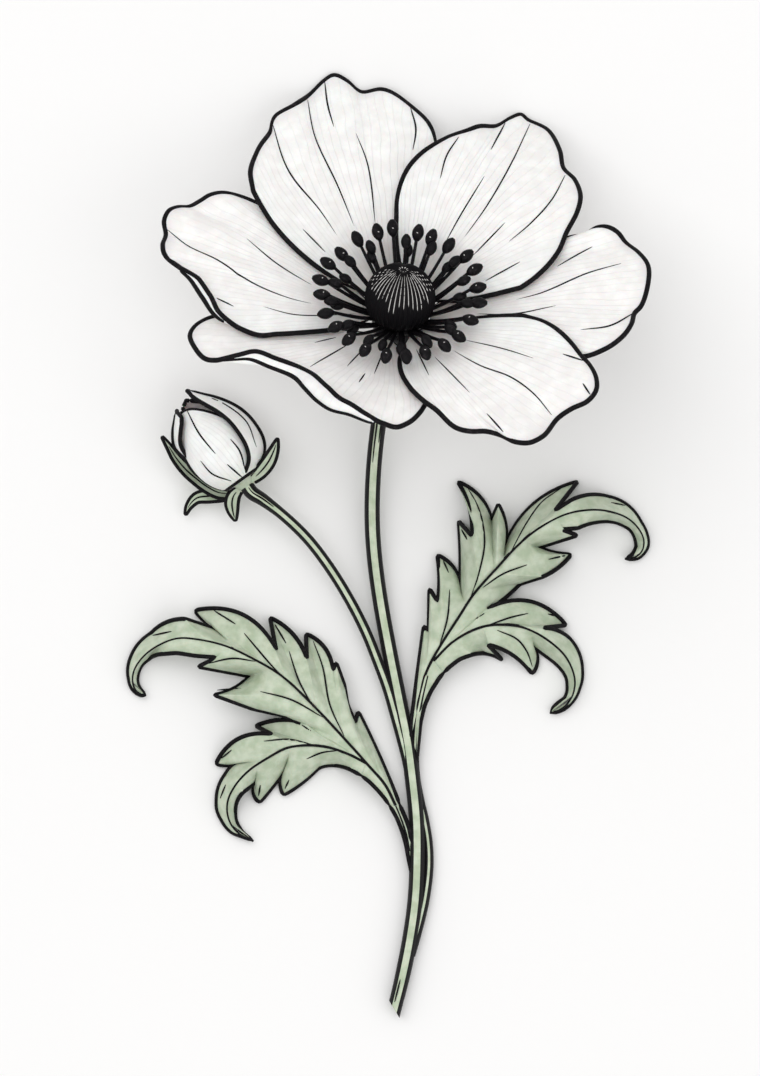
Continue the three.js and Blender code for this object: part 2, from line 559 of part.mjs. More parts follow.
// ---------------------------------------------------------------- leaves
// A lobe is a midrib and strips of blade on its two sides. A strip's outline goes from its base
// towards the lobe's tip as [x, y, rib, bulge, z]: rib is the distance along the midrib at which the
// vein to that point leaves it, bulge is how far the edge coming to that point bows away from the
// midrib, and z replaces the height that the midrib's slope gives.
const TIP = 99; // past the end of any midrib
const LEAVES = {
  leaf_left: {
    petiole: [[0.1, -88.4, 1.2], [-0.2, -84.6, 1.7], [-1, -80.9, 2.4], [-2.6, -77.6, 3.1]],
    petioleRadii: [PETIOLE_RADIUS, 0.5],
    lobes: [
      {
        midrib: [
          [-0.9, -80.9, 2.4], [-2.5, -77.5, 3.1], [-5.6, -73.9, 4], [-10.1, -68.9, 5.2],
          [-14.9, -63.8, 6.2], [-19.6, -59.4, 6.9], [-24.4, -56.5, 7.2], [-29.2, -54.3, 7],
          [-34, -53.2, 6.4], [-37.2, -53.1, 5.6], [-40.4, -54.3, 4.5], [-42.9, -56.2, 3.3],
          [-44.4, -58.5, 2.3], [-44.6, -60.5, 1.6], [-43.9, -62, 1.1], [-42.4, -62.7, 0.7],
        ],
        strips: [
          [
            [-0.5, -80.9, 0], [-7, -65.3, 4.5, 0.4], [-7.5, -67.2, 5.7], [-8.8, -64.1, 8], [-9.3, -60.9, 11],
            [-10.7, -57, 13.2], [-11.2, -58.6, 14.4], [-15.7, -52.3, 17, 1.2], [-15.5, -56.5, 21],
            [-21.7, -49.6, 24, 1], [-20.6, -55.1, 28.5], [-34.3, -48.4, 31.5, 2.9],
            [-30.2, -51.8, 38.5, 0.3], [-35.9, -49.8, 43.3], [-41.6, -52.3, 49.8, 0.7],
            [-45.2, -57.1, 55.6, 0.6], [-45.2, -60, 58.6, 0.2], [-43.6, -62.5, 60.4, 0.4],
            [-42.4, -62.7, TIP],
          ],
          [[-0.9, -82.2, 0], [-3.6, -79.3, 5], [-6.6, -76, 9.2, 0.5, 3.3]],
          [
            [-5.7, -73.8, 8.4], [-16.4, -67.5, 11, 0, 4.6], [-17.4, -66.9, 13.5], [-19.6, -65.9, 16],
            [-24.7, -64.8, 20.5], [-31.1, -62.5, 24.5], [-25.1, -59.4, 31.5, -0.6], [-33.7, -57.8, 35.5],
            [-30.5, -56.2, 40], [-34, -56, 44], [-37.2, -55.5, 47.4], [-39.7, -55.7, 49.6],
            [-42, -56.6, 52.6, -0.2], [-43.5, -58.2, 55.6, -0.2], [-43.9, -60, 58.2, -0.1],
            [-43.5, -61.4, 60.2, -0.1], [-42.4, -62.7, TIP],
          ],
        ],
      },
      {
        midrib: [
          [-5.6, -73.9, 4], [-8.5, -72.4, 4.6], [-11.7, -71.3, 5], [-15.2, -70.9, 5.3],
          [-18.7, -71.3, 5.4], [-22.2, -73.1, 5.2], [-25.4, -75.3, 4.8], [-27.6, -77.8, 4.1],
          [-28.7, -80.1, 3.4], [-28.8, -82.3, 2.6], [-28.1, -84.3, 1.9], [-26.7, -85.8, 1.2],
          [-24.5, -86.8, 0.7],
        ],
        strips: [
          [
            [-5.2, -73.4, 0], [-16.1, -67.1, 4.5, 0, 4.7], [-24.1, -67.7, 8.5, 0.7], [-21.3, -69.1, 12.5],
            [-30.8, -74.1, 15, 2], [-26.3, -73.5, 19.6, 0.4], [-29.2, -75.9, 24, 0.4],
            [-30.6, -80.2, 28.4, 0.4], [-29.8, -83.3, 31.2, 0.3], [-27.9, -85.6, 33.6, 0.2],
            [-24.5, -86.8, TIP],
          ],
          [
            [-6.2, -76.2, 0, 0, 3.3], [-10.7, -74.3, 4.5, -0.5], [-13.6, -74.7, 7, -0.2],
            [-19.5, -79.3, 10.5, 0.3], [-18.8, -74.5, 13.5, 0.8], [-23.5, -80.6, 16, 0.1],
            [-23.9, -76.9, 20, 0.8], [-26.2, -78.8, 24], [-27.5, -82.2, 29, -0.4], [-27, -84.4, 32, -0.2],
            [-24.5, -86.8, TIP, -0.3],
          ],
        ],
      },
    ],
  },
  leaf_right: {
    petiole: [
      [4.1, -101, 0.85], [4.6, -97, 0.85], [5, -91.7, 0.85], [5.1, -87.5, 0.85], [4.8, -81.7, 0.95],
      [4.1, -76.7, 1.1], [3.3, -70.8, 1.5], [3, -66.7, 1.9], [3.3, -63.5, 2.3], [4.3, -59.2, 2.8],
    ],
    petioleRadii: [PETIOLE_RADIUS, 0.55],
    lobes: [
      {
        midrib: [
          [3.1, -64.8, 2.1], [4.3, -59.2, 2.8], [6.3, -55.2, 3.5], [9.5, -50, 4.6], [12.3, -45.7, 5.6],
          [16.1, -41.4, 6.4], [19.5, -37.7, 7], [23, -34.8, 7.2], [27.3, -32.5, 7], [31, -31.7, 6.4],
          [34.4, -31.8, 5.6], [37.9, -33, 4.3], [39.9, -34.9, 3.2], [40.7, -36.8, 2.3], [40.4, -38.5, 1.6],
          [39.3, -39.5, 1.1], [37.6, -39.9, 0.7],
        ],
        strips: [
          [
            [2.7, -64.6, 0], [4, -50.9, 4.8], [4.8, -51.9, 6], [4.9, -44.7, 9.5], [6.3, -47, 11.2],
            [6.2, -39.1, 14, -0.3], [10, -44.9, 19.4, 1.1], [9.8, -33.5, 21.4, -0.2], [12, -36, 23.6],
            [9.6, -26.9, 26.4, -0.8], [15.3, -33.3, 27, 1.1], [16.4, -30.7, 27.4], [17.3, -38.2, 29.8, 0.8],
            [29.7, -26.9, 32.6, 2.2], [25.8, -31.8, 39.6], [28.7, -29.9, 43.4], [35, -29.5, 49.6, 0.6],
            [40.2, -33.7, 55.8, 0.8], [41.4, -36.6, 58, 0.2], [41, -38.5, 59.8, 0.2],
            [39.6, -39.8, 61.2, 0.1], [37.6, -39.9, TIP],
          ],
          [[3.7, -65, 0], [4.6, -62, 3], [6.2, -59.4, 9, 0.2, 2.4]],
          [
            [5.7, -56.6, 8.4], [14.4, -48.7, 15, 0, 4.2], [20, -44, 22.5, 0.2], [23.8, -42.8, 26.5],
            [28.6, -39.1, 31, 0.4], [23.1, -37.9, 34, -0.3], [29.6, -35.9, 38.2], [26.8, -34.9, 41.5],
            [29.6, -34.7, 44.5], [34.7, -33.5, 49.4, -0.3], [37.5, -34.3, 52.6, -0.2],
            [39.2, -36.1, 56, -0.3], [39.5, -37.9, 59, -0.1], [38.8, -39.1, 61], [37.6, -39.9, TIP],
          ],
        ],
      },
      {
        midrib: [
          [5.6, -56.8, 3.2], [8.6, -53.8, 3.8], [11.5, -52, 4.4], [14.4, -51, 4.9], [17.2, -50.8, 5.2],
          [20.7, -51.3, 5.2], [24.4, -53.2, 4.8], [27.6, -56.1, 4], [29.1, -59.5, 3], [29, -62, 2.3],
          [28.1, -63.8, 1.6], [26.7, -65, 1.1], [25.1, -65.5, 0.7],
        ],
        strips: [
          [
            [5.4, -56.2, 0], [14.1, -48.3, 6.5, 0, 4.3], [27.8, -50.9, 12.5, 2.8], [23.9, -51.3, 19],
            [28.1, -52.9, 23.6, 0.4], [30.4, -58.4, 28.8, 0.6], [29.9, -61.5, 32, 0.2],
            [28.4, -64.1, 34.3, 0.2], [25.1, -65.5, TIP, 0.4],
          ],
          [
            [5.9, -59.6, 0, 0, 2.4], [9.5, -56.9, 3.2, -0.3], [13.2, -55.7, 6, -0.3],
            [17.1, -56.7, 8.5, -0.2],
            [14.6, -54.1, 10.5], [22.1, -59.1, 14, -0.9], [22, -54.2, 19, 0.9], [25.6, -56.9, 24, 0],
            [27.4, -58.8, 27.3, -0.1], [28, -61, 30.2, -0.2], [27.5, -63.2, 33, -0.2],
            [25.1, -65.5, TIP, -0.3],
          ],
        ],
      },
    ],
  },
};
const EDGE_DROOP = 0.13; // of the blade's width, below its midrib
const BLADE_SWELL = 0.12; // of the blade's width, between midrib and edge
const EDGE_STEP = 3.8; // between points along an outline

// The outline of a strip as points with the midrib distance that each belongs to.
function outlineOf(corners, rib) {
  const ribLength = rib.getLength();
  const samples = [];
  corners.forEach(([x, y, reach, bulge = 0, z], i) => {
    const ribAt = (distance) => rib.getPointAt(Math.min(1, distance / ribLength));
    const here = new THREE.Vector3(x, y, 0);
    here.z = z ?? ribAt(reach).z - EDGE_DROOP * Math.hypot(ribAt(reach).x - x, ribAt(reach).y - y);
    if (i === 0) {
      samples.push({ point: here, reach });
      return;
    }
    const before = samples[samples.length - 1];
    const chord = here.clone().sub(before.point);
    const away = new THREE.Vector3(-chord.y, chord.x, 0).normalize();
    const middle = before.point.clone().add(here).multiplyScalar(0.5);
    const inner = ribAt((before.reach + reach) / 2);
    if (away.dot(middle.clone().sub(inner)) < 0) away.negate();
    const parts = Math.max(1, Math.round(chord.length() / EDGE_STEP));
    for (let k = 1; k <= parts; k++) {
      const t = k / parts;
      const point = before.point.clone().addScaledVector(chord, t);
      point.addScaledVector(away, bulge * 4 * t * (1 - t));
      samples.push({ point, reach: mix(before.reach, reach, t) });
    }
  });
  return samples;
}

// One side of a lobe: a valley along the midrib on its upper face and a keel under it. The blade lies
// lower along the veins that run to its teeth, and swells between them. Each row of the strip starts
// a little past the midrib, so that the two sides of the lobe overlap there.
function leafStrip(corners, rib) {
  const ribLength = rib.getLength();
  const ends = outlineOf(corners, rib).map(({ point, reach }) => {
    const onRib = rib.getPointAt(Math.min(1, reach / ribLength));
    const out = point.clone().sub(onRib).setZ(0);
    return { onRib, point, width: out.length(), out: out.normalize() };
  });
  const wide = ends.filter(({ width }) => width > RIB_OVERLAP);
  const rows = ends.map(({ onRib, point, width, out }, i) => {
    const near = ends.slice(Math.max(0, i - 2), i + 3);
    const usual = near.reduce((sum, row) => sum + row.width, 0) / near.length;
    const relief = THREE.MathUtils.clamp(2 - width / Math.max(usual, 0.1), 0.35, 1.5);
    const away = width > RIB_OVERLAP ? out : (i < ends.length / 2 ? wide[0] : wide[wide.length - 1]).out;
    const start = onRib.clone().addScaledVector(away, -RIB_OVERLAP);
    const end = point.clone().addScaledVector(away, width > RIB_OVERLAP ? 0 : 0.15);
    const centre = start.clone().lerp(end, 0.5);
    centre.z += BLADE_SWELL * width * relief;
    return [start, centre, end].map((p) => p.setZ(p.z + LEAF_THICKNESS / 2));
  });
  const under = rows.map((row) =>
    row.map((p, k) => p.clone().setZ(p.z - (k ? LEAF_THICKNESS : KEEL_DEPTH))),
  );
  return closedBetween(rows, under);
}

function leaf({ petiole, petioleRadii, lobes }) {
  const stalk = barAlong(curveThrough(petiole), (t) => mix(...petioleRadii, t), 8, petiole.length + 4);
  const strips = lobes.flatMap(({ midrib, strips: sides }) => {
    const rib = curveThrough(midrib);
    return sides.map((corners) => leafStrip(corners, rib));
  });
  return union([stalk, ...strips]);
}

// ---------------------------------------------------------------- the plant
const plant = new THREE.Group();
const flower = new THREE.Group();
flower.position.set(0, 0, ROOT_HEIGHT);
flower.rotation.x = -FACE_TILT;
plant.add(flower);
petalSolids.forEach(([name, solid]) => flower.add(meshFrom(solid, name, COLOURS.petal)));
flower.add(meshFrom(dome(), "carpel_dome", COLOURS.dark, 0.4));
flower.add(meshFrom(stamens(), "stamens", COLOURS.dark, 0.5));
plant.add(meshFrom(stem(), "stem", COLOURS.stem));
plant.add(meshFrom(budPetals(), "bud_petals", COLOURS.petal));
plant.add(meshFrom(budOuterPetal(), "bud_outer_petal", COLOURS.petal));
plant.add(meshFrom(budBracts(), "bud_bracts", COLOURS.leaf));
Object.entries(LEAVES).forEach(([name, made]) => plant.add(meshFrom(leaf(made), name, COLOURS.leaf)));

plant.updateMatrixWorld(true);
const extent = new THREE.Box3().setFromObject(plant, true);
const middle = extent.getCenter(new THREE.Vector3());
plant.position.set(-middle.x, -middle.y, -extent.min.z);

export default plant;
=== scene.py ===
"""A cut stem of Japanese anemone that lies on a pale table and is seen from above.

One open flower with six white petals, a ring of dark stamens and a ribbed dark dome, one bud on its
own stalk, and two lobed leaves. Each piece is a surface worked out in millimetres in the plan of the
flower, whose origin is the middle of the petals' roots, with +Y along the stem towards the flower
and +Z up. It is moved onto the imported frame, in metres, when its mesh is made.
"""

import math

import bpy
import numpy as np
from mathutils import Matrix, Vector


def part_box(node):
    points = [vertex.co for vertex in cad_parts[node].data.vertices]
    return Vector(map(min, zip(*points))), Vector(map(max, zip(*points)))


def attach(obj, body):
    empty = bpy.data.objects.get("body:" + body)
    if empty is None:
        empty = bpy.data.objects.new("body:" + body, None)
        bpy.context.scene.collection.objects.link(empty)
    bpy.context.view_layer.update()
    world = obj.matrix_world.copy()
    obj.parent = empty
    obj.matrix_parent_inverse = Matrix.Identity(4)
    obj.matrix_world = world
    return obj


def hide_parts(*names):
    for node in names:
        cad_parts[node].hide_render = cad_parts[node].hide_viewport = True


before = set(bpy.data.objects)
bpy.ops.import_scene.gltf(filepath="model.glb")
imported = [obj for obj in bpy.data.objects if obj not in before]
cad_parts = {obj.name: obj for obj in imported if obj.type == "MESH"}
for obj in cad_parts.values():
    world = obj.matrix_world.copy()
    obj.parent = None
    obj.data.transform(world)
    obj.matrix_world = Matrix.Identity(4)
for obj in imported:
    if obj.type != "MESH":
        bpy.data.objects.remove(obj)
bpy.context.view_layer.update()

# ------------------------------------------------------------------ sizes, in millimetres
MM = 0.001
FACE_TILT = math.radians(38)  # the flower's axis leans this far from upright
ROOT_HEIGHT = 22.68  # of the petals' roots above the table
DISH_DEPTH = 6.5  # how far the bowl of petals rises above their roots
DISH_SPREAD = 18.0  # radius at which most of that rise is done
DISH_STEPS = 12  # in which a seen place is moved onto the dish
PETAL_ROOT_RADIUS = 5.0
PETAL_ROOT_SPREAD = math.radians(19)  # half the angle that one root takes
LOW_LAYER = -0.55  # an edge tucked under its neighbour
HIGH_LAYER = 0.65  # an edge lying over its neighbour
FLAT_SHARE = 0.78  # of a petal's length, before its rim begins
PETAL_THICK = 0.62  # at the root
PETAL_THIN = 0.34  # at the rim
WAVES = 3.4  # across a petal
WAVE_HEIGHT = 0.17
RUFFLES = 6.2  # along a petal's rim
RUFFLE_HEIGHT = 0.16
FULL_FOLD = 1.2  # a rim that comes back by this much is wholly folded
FOLD_RUN = 0.12  # share of the last stretch by which a folded rim runs on before it turns
FOLD_PULL = 0.75  # share of the way back at the bend's second control point
CREST_REACH = 0.25  # a rim that lies this far behind its crest has turned back
CREST_WINDOW = 9  # points over which a crest line is smoothed
RIM_BEAD = 0.43  # radius of the dusky bead along a petal's edge
FOLD_STAND = 0.3  # how far the bead on a folded rim stands out from the crest
VEIN = 0.16  # radius of a drawn vein
VEIN_SIDES = 7
VEIN_SKIN = 0.42  # a petal's thickness where its veins stand out
BEAD_SIDES = 9
DOME_RADIUS = 5.9
DOME_CENTRE = 5.7  # above the petals' roots, along the flower's axis
DOME_UNDERSIDE = 3.44
DOME_NECK = 2.9
RIB_DEPTH = 0.26  # of the furrows between the dome's ribs
RIB_POINTS = 10  # round the dome, for each rib
KNOB_RADIUS = 4.6
KNOB_TOP = 1.0
RING_BOTTOM = 1.3
RING_TOP = 2.0
GAP = 0.3  # between the dome's neck and the stamens' ring
FILAMENT_RADIUS = 0.32
KNEE_SHARE = 0.45  # of the way out, at which a filament bends
KNEE_RISE = 0.23  # of its tip's height
ANTHER_LENGTH = 2.9
ANTHER_RADIUS = 0.95
ANTHER_STEPS = 12  # along an anther, and round it
STEM_RADIUS = 1.28
STALK_RADIUS = 0.9
LEAF_SWELL = 0.11  # of a leaf blade's width, between its midrib and its edge
EDGE_DROOP = 0.13  # of the blade's width, below its midrib
LEAF_LIFT = 0.375  # from the leaf's own line to its upper face
LEAF_THICK = 0.62
LEAF_THIN = 0.4
LEAF_BEAD = 0.38
RIB_BEADS = (0.26, 0.13)  # radii of a midrib's line at its foot and its tip, on the upper face
UNDER_RIBS = (0.42, 0.16)  # the same on the lower face
BUD_LENGTH = 15.4
BUD_RADIUS = 5.2
BUD_BELLY = 6.0  # distance of the bud's widest ring from its foot
BUD_HEEL = 6.5  # half length of the ellipse below that ring
BUD_SKIN = 0.45  # thickness of a bud's petal
BUD_BEAD = 0.36
BRACT_HALF_WIDTH = 1.05
BRACT_SKIN = 0.5
BRACT_BEAD = 0.3
KEEL_BEAD = 0.42
KEEL_HEIGHT = 0.5  # above the bud's axis
KEEL_STAND = 0.3  # how far the keel of a standing petal is proud of its blade
SEARCH_GRID = 60  # points to a side of the coarse grid in which a seen place is looked up
SEARCH_STEPS = 12
SEARCH_REACH = 0.05  # the largest change of u or v in one step
CURVE_SAMPLES = 900
UP = np.array([0.0, 0.0, 1.0])
OUT_OF_SIGHT = 1e6

tilt_sine, tilt_cosine = math.sin(FACE_TILT), math.cos(FACE_TILT)
dome_low, dome_high = (np.array(corner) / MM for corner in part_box("carpel_dome"))
# The dome is a globe round a known point of the plan, so its box says where the plan lies.
PLAN_TO_FRAME = np.array(
    [
        (dome_low[0] + dome_high[0]) / 2,
        dome_high[1] - DOME_RADIUS - DOME_CENTRE * tilt_sine,
        dome_high[2] - DOME_RADIUS - DOME_CENTRE * tilt_cosine - ROOT_HEIGHT,
    ]
)


# ------------------------------------------------------------------ lines and surfaces
def unit(vectors):
    return vectors / np.maximum(np.linalg.norm(vectors, axis=-1, keepdims=True), 1e-9)


def mix(a, b, share):
    return a + (b - a) * share


def smooth(x):
    """0 below 0, 1 above 1, and 3x^2 - 2x^3 between."""
    x = np.clip(x, 0, 1)
    return x * x * (3 - 2 * x)


class Curve:
    """A line through given points. Each stretch is a cubic whose slopes at both its ends
    come from the neighbouring points, weighted by the square roots of their distances."""

    def __init__(self, points):
        given = np.asarray(points, float)
        padded = np.vstack([2 * given[0] - given[1], given, 2 * given[-1] - given[-2]])
        self.parameter = np.linspace(0, 1, CURVE_SAMPLES)
        place = self.parameter * (len(given) - 1)
        first = np.minimum(place.astype(int), len(given) - 2)
        w = (place - first)[:, None]
        a, b, c, d = (padded[first + k] for k in range(4))
        before, between, after = (
            np.sqrt(np.linalg.norm(q - p, axis=1, keepdims=True)) for p, q in ((a, b), (b, c), (c, d))
        )
        between = np.where(between < 1e-4, 1.0, between)
        before = np.where(before < 1e-4, between, before)
        after = np.where(after < 1e-4, between, after)
        slope_b = ((b - a) / before - (c - a) / (before + between) + (c - b) / between) * between
        slope_c = ((c - b) / between - (d - b) / (between + after) + (d - c) / after) * between
        bend = 3 * (c - b) - 2 * slope_b - slope_c
        twist = 2 * (b - c) + slope_b + slope_c
        self.points = b + slope_b * w + bend * w**2 + twist * w**3
        steps = np.linalg.norm(np.diff(self.points, axis=0), axis=1)
        self.reach = np.concatenate([[0.0], np.cumsum(steps)])
        self.length = self.reach[-1]

    def parameter_at(self, share):
        return np.interp(share, self.reach / self.length, self.parameter)

    def pick(self, parameter):
        return np.stack([np.interp(parameter, self.parameter, column) for column in self.points.T], -1)

    def at(self, share):
        """The point at a share of the line's length."""
        return self.pick(self.parameter_at(np.asarray(share, float)))

    def at_distance(self, distance):
        """The point at a distance along the line, or the line's end if that is nearer."""
        return self.at(np.minimum(1, distance / self.length))

    def tangent(self, share):
        step = 2e-3
        share = np.asarray(share, float)
        return unit(self.at(np.minimum(share + step, 1)) - self.at(np.maximum(share - step, 0)))


class Shape:
    """Points with faces. Each point has a place on its surface (across, along) and a tone from 0
    to 1, which its finish may read."""

    def __init__(self, points, faces, place, tone=0.0):
        self.points = points.reshape(-1, 3)
        self.faces = faces
        self.place = place.reshape(-1, 2)
        self.tone = np.broadcast_to(np.asarray(tone, float), place.shape[:-1]).reshape(-1)

    def outward(self):
        """The same shape with its faces turned so that it holds a positive volume."""
        fans = [part[:, [0, k, k + 1]] for part in self.faces for k in range(1, part.shape[1] - 1)]
        a, b, c = (self.points[corner] for corner in np.vstack(fans).T)
        if np.einsum("ij,ij->", a, np.cross(b, c)) < 0:
            self.faces = [part[:, ::-1] for part in self.faces]
        return self


def joined(shapes):
    """Several shapes as one."""
    starts = np.cumsum([0] + [len(shape.points) for shape in shapes])
    faces = [part + start for shape, start in zip(shapes, starts) for part in shape.faces]
    points = np.concatenate([shape.points for shape in shapes])
    place = np.concatenate([shape.place for shape in shapes])
    tone = np.concatenate([shape.tone for shape in shapes])
    return Shape(points, faces, place, tone)


def grid_faces(rows, around):
    """Four-sided faces of rings of points, numbered ring by ring, each closed on itself."""
    i, j = np.meshgrid(np.arange(rows - 1), np.arange(around), indexing="ij")
    k = (j + 1) % around
    corners = [i * around + j, (i + 1) * around + j, (i + 1) * around + k, i * around + k]
    return np.stack(corners, -1).reshape(-1, 4)


def slab(middle, thickness, normal=None):
    """A closed sheet over a grid of points: its faces lie half the thickness to either side of the
    middle surface, along its normal, which is the cross product of the grid's two directions."""
    if normal is None:
        normal = unit(np.cross(np.gradient(middle, axis=0), np.gradient(middle, axis=1)))
    half = normal * (np.broadcast_to(thickness, middle.shape[:2]) / 2)[..., None]
    rings = np.concatenate([middle + half, (middle - half)[:, ::-1]], axis=1)
    rows, columns = middle.shape[:2]
    along, across = np.meshgrid(np.linspace(0, 1, rows), np.linspace(0, 1, columns), indexing="ij")
    place = np.stack([across, along], -1)
    place = np.concatenate([place, place[:, ::-1]], axis=1)
    j = np.arange(columns - 1)
    end = np.stack([j, j + 1, 2 * columns - 2 - j, 2 * columns - 1 - j], -1)
    faces = [grid_faces(rows, 2 * columns), end, (rows - 1) * 2 * columns + end[:, ::-1]]
    return Shape(rings, faces, place).outward()


def closed_rings(rings, place, tone=0.0):
    """Rings of points, in order, as one closed body: each end is a fan round its ring's middle."""
    rows, around = rings.shape[:2]
    centres = rings[[0, -1]].mean(axis=1)
    k = np.arange(around)
    after = (k + 1) % around
    last = (rows - 1) * around
    first_fan = np.stack([np.full(around, rows * around), k, after], -1)
    last_fan = np.stack([np.full(around, rows * around + 1), last + after, last + k], -1)
    tone = np.broadcast_to(np.asarray(tone, float), (rows, around))
    return Shape(
        np.vstack([rings.reshape(-1, 3), centres]),
        [grid_faces(rows, around), first_fan, last_fan],
        np.vstack([place.reshape(-1, 2), place[[0, -1]].mean(axis=1)]),
        np.concatenate([tone.reshape(-1), tone[[0, -1]].mean(axis=1)]),
    ).outward()


def tube(path, radius, up=UP, sides=10, tone=0.0):
    """A round body along a path: at each station a ring in the plane across the path, with its
    radius given for each station, or for each station and each of its sides. The ring's angle is
    counted from the path's right-hand side towards up."""
    tangent = unit(np.gradient(path, axis=0))
    across = unit(np.cross(tangent, up))
    out = np.cross(across, tangent)
    angle = 2 * np.pi * np.arange(sides) / sides
    radius = np.asarray(radius, float)
    if radius.ndim == 1:
        radius = radius[:, None]
    radius = np.broadcast_to(radius, (len(path), sides))
    spoke = across[:, None] * np.cos(angle)[:, None] + out[:, None] * np.sin(angle)[:, None]
    rings = path[:, None] + spoke * radius[..., None]
    reach = np.concatenate([[0.0], np.cumsum(np.linalg.norm(np.diff(path, axis=0), axis=1))])
    place = np.stack(np.broadcast_arrays(angle / (2 * np.pi), reach[:, None]), -1)
    return closed_rings(rings, place, tone)


def turned(profile, to_plan, sides, ripple=None, tone=0.0):
    """A profile of (radius, height) points, carried round an axis. Ripple, a function of the angle,
    multiplies the radius. The tone is given for each of the profile's points, or for all."""
    radius, height = np.asarray(profile, float).T
    angle = -2 * np.pi * np.arange(sides) / sides
    reach = radius[:, None] * (np.ones(sides) if ripple is None else ripple(angle))
    points = np.broadcast_arrays(reach * np.cos(angle), reach * np.sin(angle), height[:, None])
    place = np.stack(np.broadcast_arrays(-angle / (2 * np.pi), height[:, None]), -1)
    return closed_rings(to_plan(np.stack(points, -1)), place, np.broadcast_to(tone, (sides, len(radius))).T)


def tapered(stations, radius, thin=0.25):
    """A radius that swells from thin ends to its middle, as the sine of the share of the way."""
    share = np.linspace(0, 1, stations)
    return radius * mix(thin, 1.0, np.sin(np.pi * share) ** 0.6)


def paired(u, v):
    """Shares along and across a surface as arrays of one shape, the first kept from 0 to 1."""
    return np.broadcast_arrays(np.clip(u, 0, 1), np.asarray(v, float))


def seen_line(points, stations):
    """A line through points seen from above, as places (x, y, 0) at even steps along it."""
    return Curve([(x, y, 0) for x, y in points]).at(np.linspace(0, 1, stations))


def find_on(surface, seen, far):
    """The places (u, v) at which a surface is seen at places (x, y) from above, and how far each
    misses: the nearest of a coarse grid of its points, and then Newton's steps. Far gives the
    largest u at each v."""
    shares = np.linspace(0, 1, SEARCH_GRID)
    u, v = np.meshgrid(shares, shares, indexing="ij")
    grid = surface(u, v)[..., :2].reshape(-1, 2)
    grid[(u > far(v)).reshape(-1)] = OUT_OF_SIGHT
    nearest = np.argmin(np.linalg.norm(seen[:, None] - grid[None], axis=-1), axis=1)
    u, v = u.reshape(-1)[nearest], v.reshape(-1)[nearest]
    step = 1e-4
    for _ in range(SEARCH_STEPS):
        here = surface(u, v)[..., :2]
        along = (surface(u + step, v)[..., :2] - here) / step
        across = (surface(u, v + step)[..., :2] - here) / step
        miss = seen - here
        area = along[:, 0] * across[:, 1] - along[:, 1] * across[:, 0]
        area = np.where(np.abs(area) < 1e-6, 1e-6, area)
        du = (miss[:, 0] * across[:, 1] - miss[:, 1] * across[:, 0]) / area
        dv = (along[:, 0] * miss[:, 1] - along[:, 1] * miss[:, 0]) / area
        v = np.clip(v + np.clip(dv, -SEARCH_REACH, SEARCH_REACH), 0.004, 0.996)
        u = np.clip(u + np.clip(du, -SEARCH_REACH, SEARCH_REACH), 0.01, far(v))
    return u, v, np.linalg.norm(seen - surface(u, v)[..., :2], axis=-1)


def on_faces(surface, u, v, upward):
    """The point of a surface and its unit normal, turned to the side of the direction upward."""
    step = 1e-3
    along = surface(np.minimum(u + step, 1), v) - surface(np.maximum(u - step, 0), v)
    across = surface(u, np.minimum(v + step, 1)) - surface(u, np.maximum(v - step, 0))
    normal = unit(np.cross(along, across))
    facing = np.sign(np.sum(normal * upward, axis=-1, keepdims=True))
    return surface(u, v), normal * np.where(facing == 0, 1, facing)


def veins_on(surface, lines, skin, far, upward=UP, both_faces=True):
    """Fine ribs that stand half out of a surface along lines seen from above, and behind them on
    its other face: each is a tapered tube whose middle lies on the face. The parts of a line that
    lie beside the surface are left off."""
    made = []
    for line in lines:
        u, v, miss = find_on(surface, seen_line(line, 30)[:, :2], far)
        found = miss < 2 * VEIN
        if np.count_nonzero(found) < 4:
            continue
        middle, normal = on_faces(surface, u[found], v[found], upward)
        for side in (1, -1) if both_faces else (1,):
            path = middle + side * normal * skin / 2
            made.append(tube(path, tapered(len(path), VEIN), normal, sides=VEIN_SIDES))
    return made


# ------------------------------------------------------------------ pieces and finishes
def add_piece(name, shape, finish, slot, *replaced):
    """A shape as a piece of the object, with its place map, its tone and its finish."""
    mesh = bpy.data.meshes.new(name)
    points = (shape.points + PLAN_TO_FRAME) * MM
    points[:, 2] = np.maximum(points[:, 2], 0)  # pressed flat where it lies on the table
    sizes = np.concatenate([np.full(len(part), part.shape[1]) for part in shape.faces])
    corners = np.concatenate([part.reshape(-1) for part in shape.faces])
    mesh.vertices.add(len(points))
    mesh.vertices.foreach_set("co", points.astype(np.float32).reshape(-1))
    mesh.loops.add(len(corners))
    mesh.loops.foreach_set("vertex_index", corners.astype(np.int32))
    mesh.polygons.add(len(sizes))
    starts = np.concatenate([[0], np.cumsum(sizes)[:-1]])
    mesh.polygons.foreach_set("loop_start", starts.astype(np.int32))
    mesh.polygons.foreach_set("use_smooth", np.ones(len(sizes), bool))
    mesh.update(calc_edges=True)
    place = mesh.uv_layers.new(name="place")
    place.data.foreach_set("uv", shape.place[corners].astype(np.float32).reshape(-1))
    tone = mesh.attributes.new("tone", "FLOAT", "POINT")
    tone.data.foreach_set("value", shape.tone.astype(np.float32))
    mesh.materials.append(finish)
    piece = bpy.data.objects.new(name, mesh)
    bpy.context.scene.collection.objects.link(piece)
    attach(piece, "root")
    if replaced:
        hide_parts(*replaced)


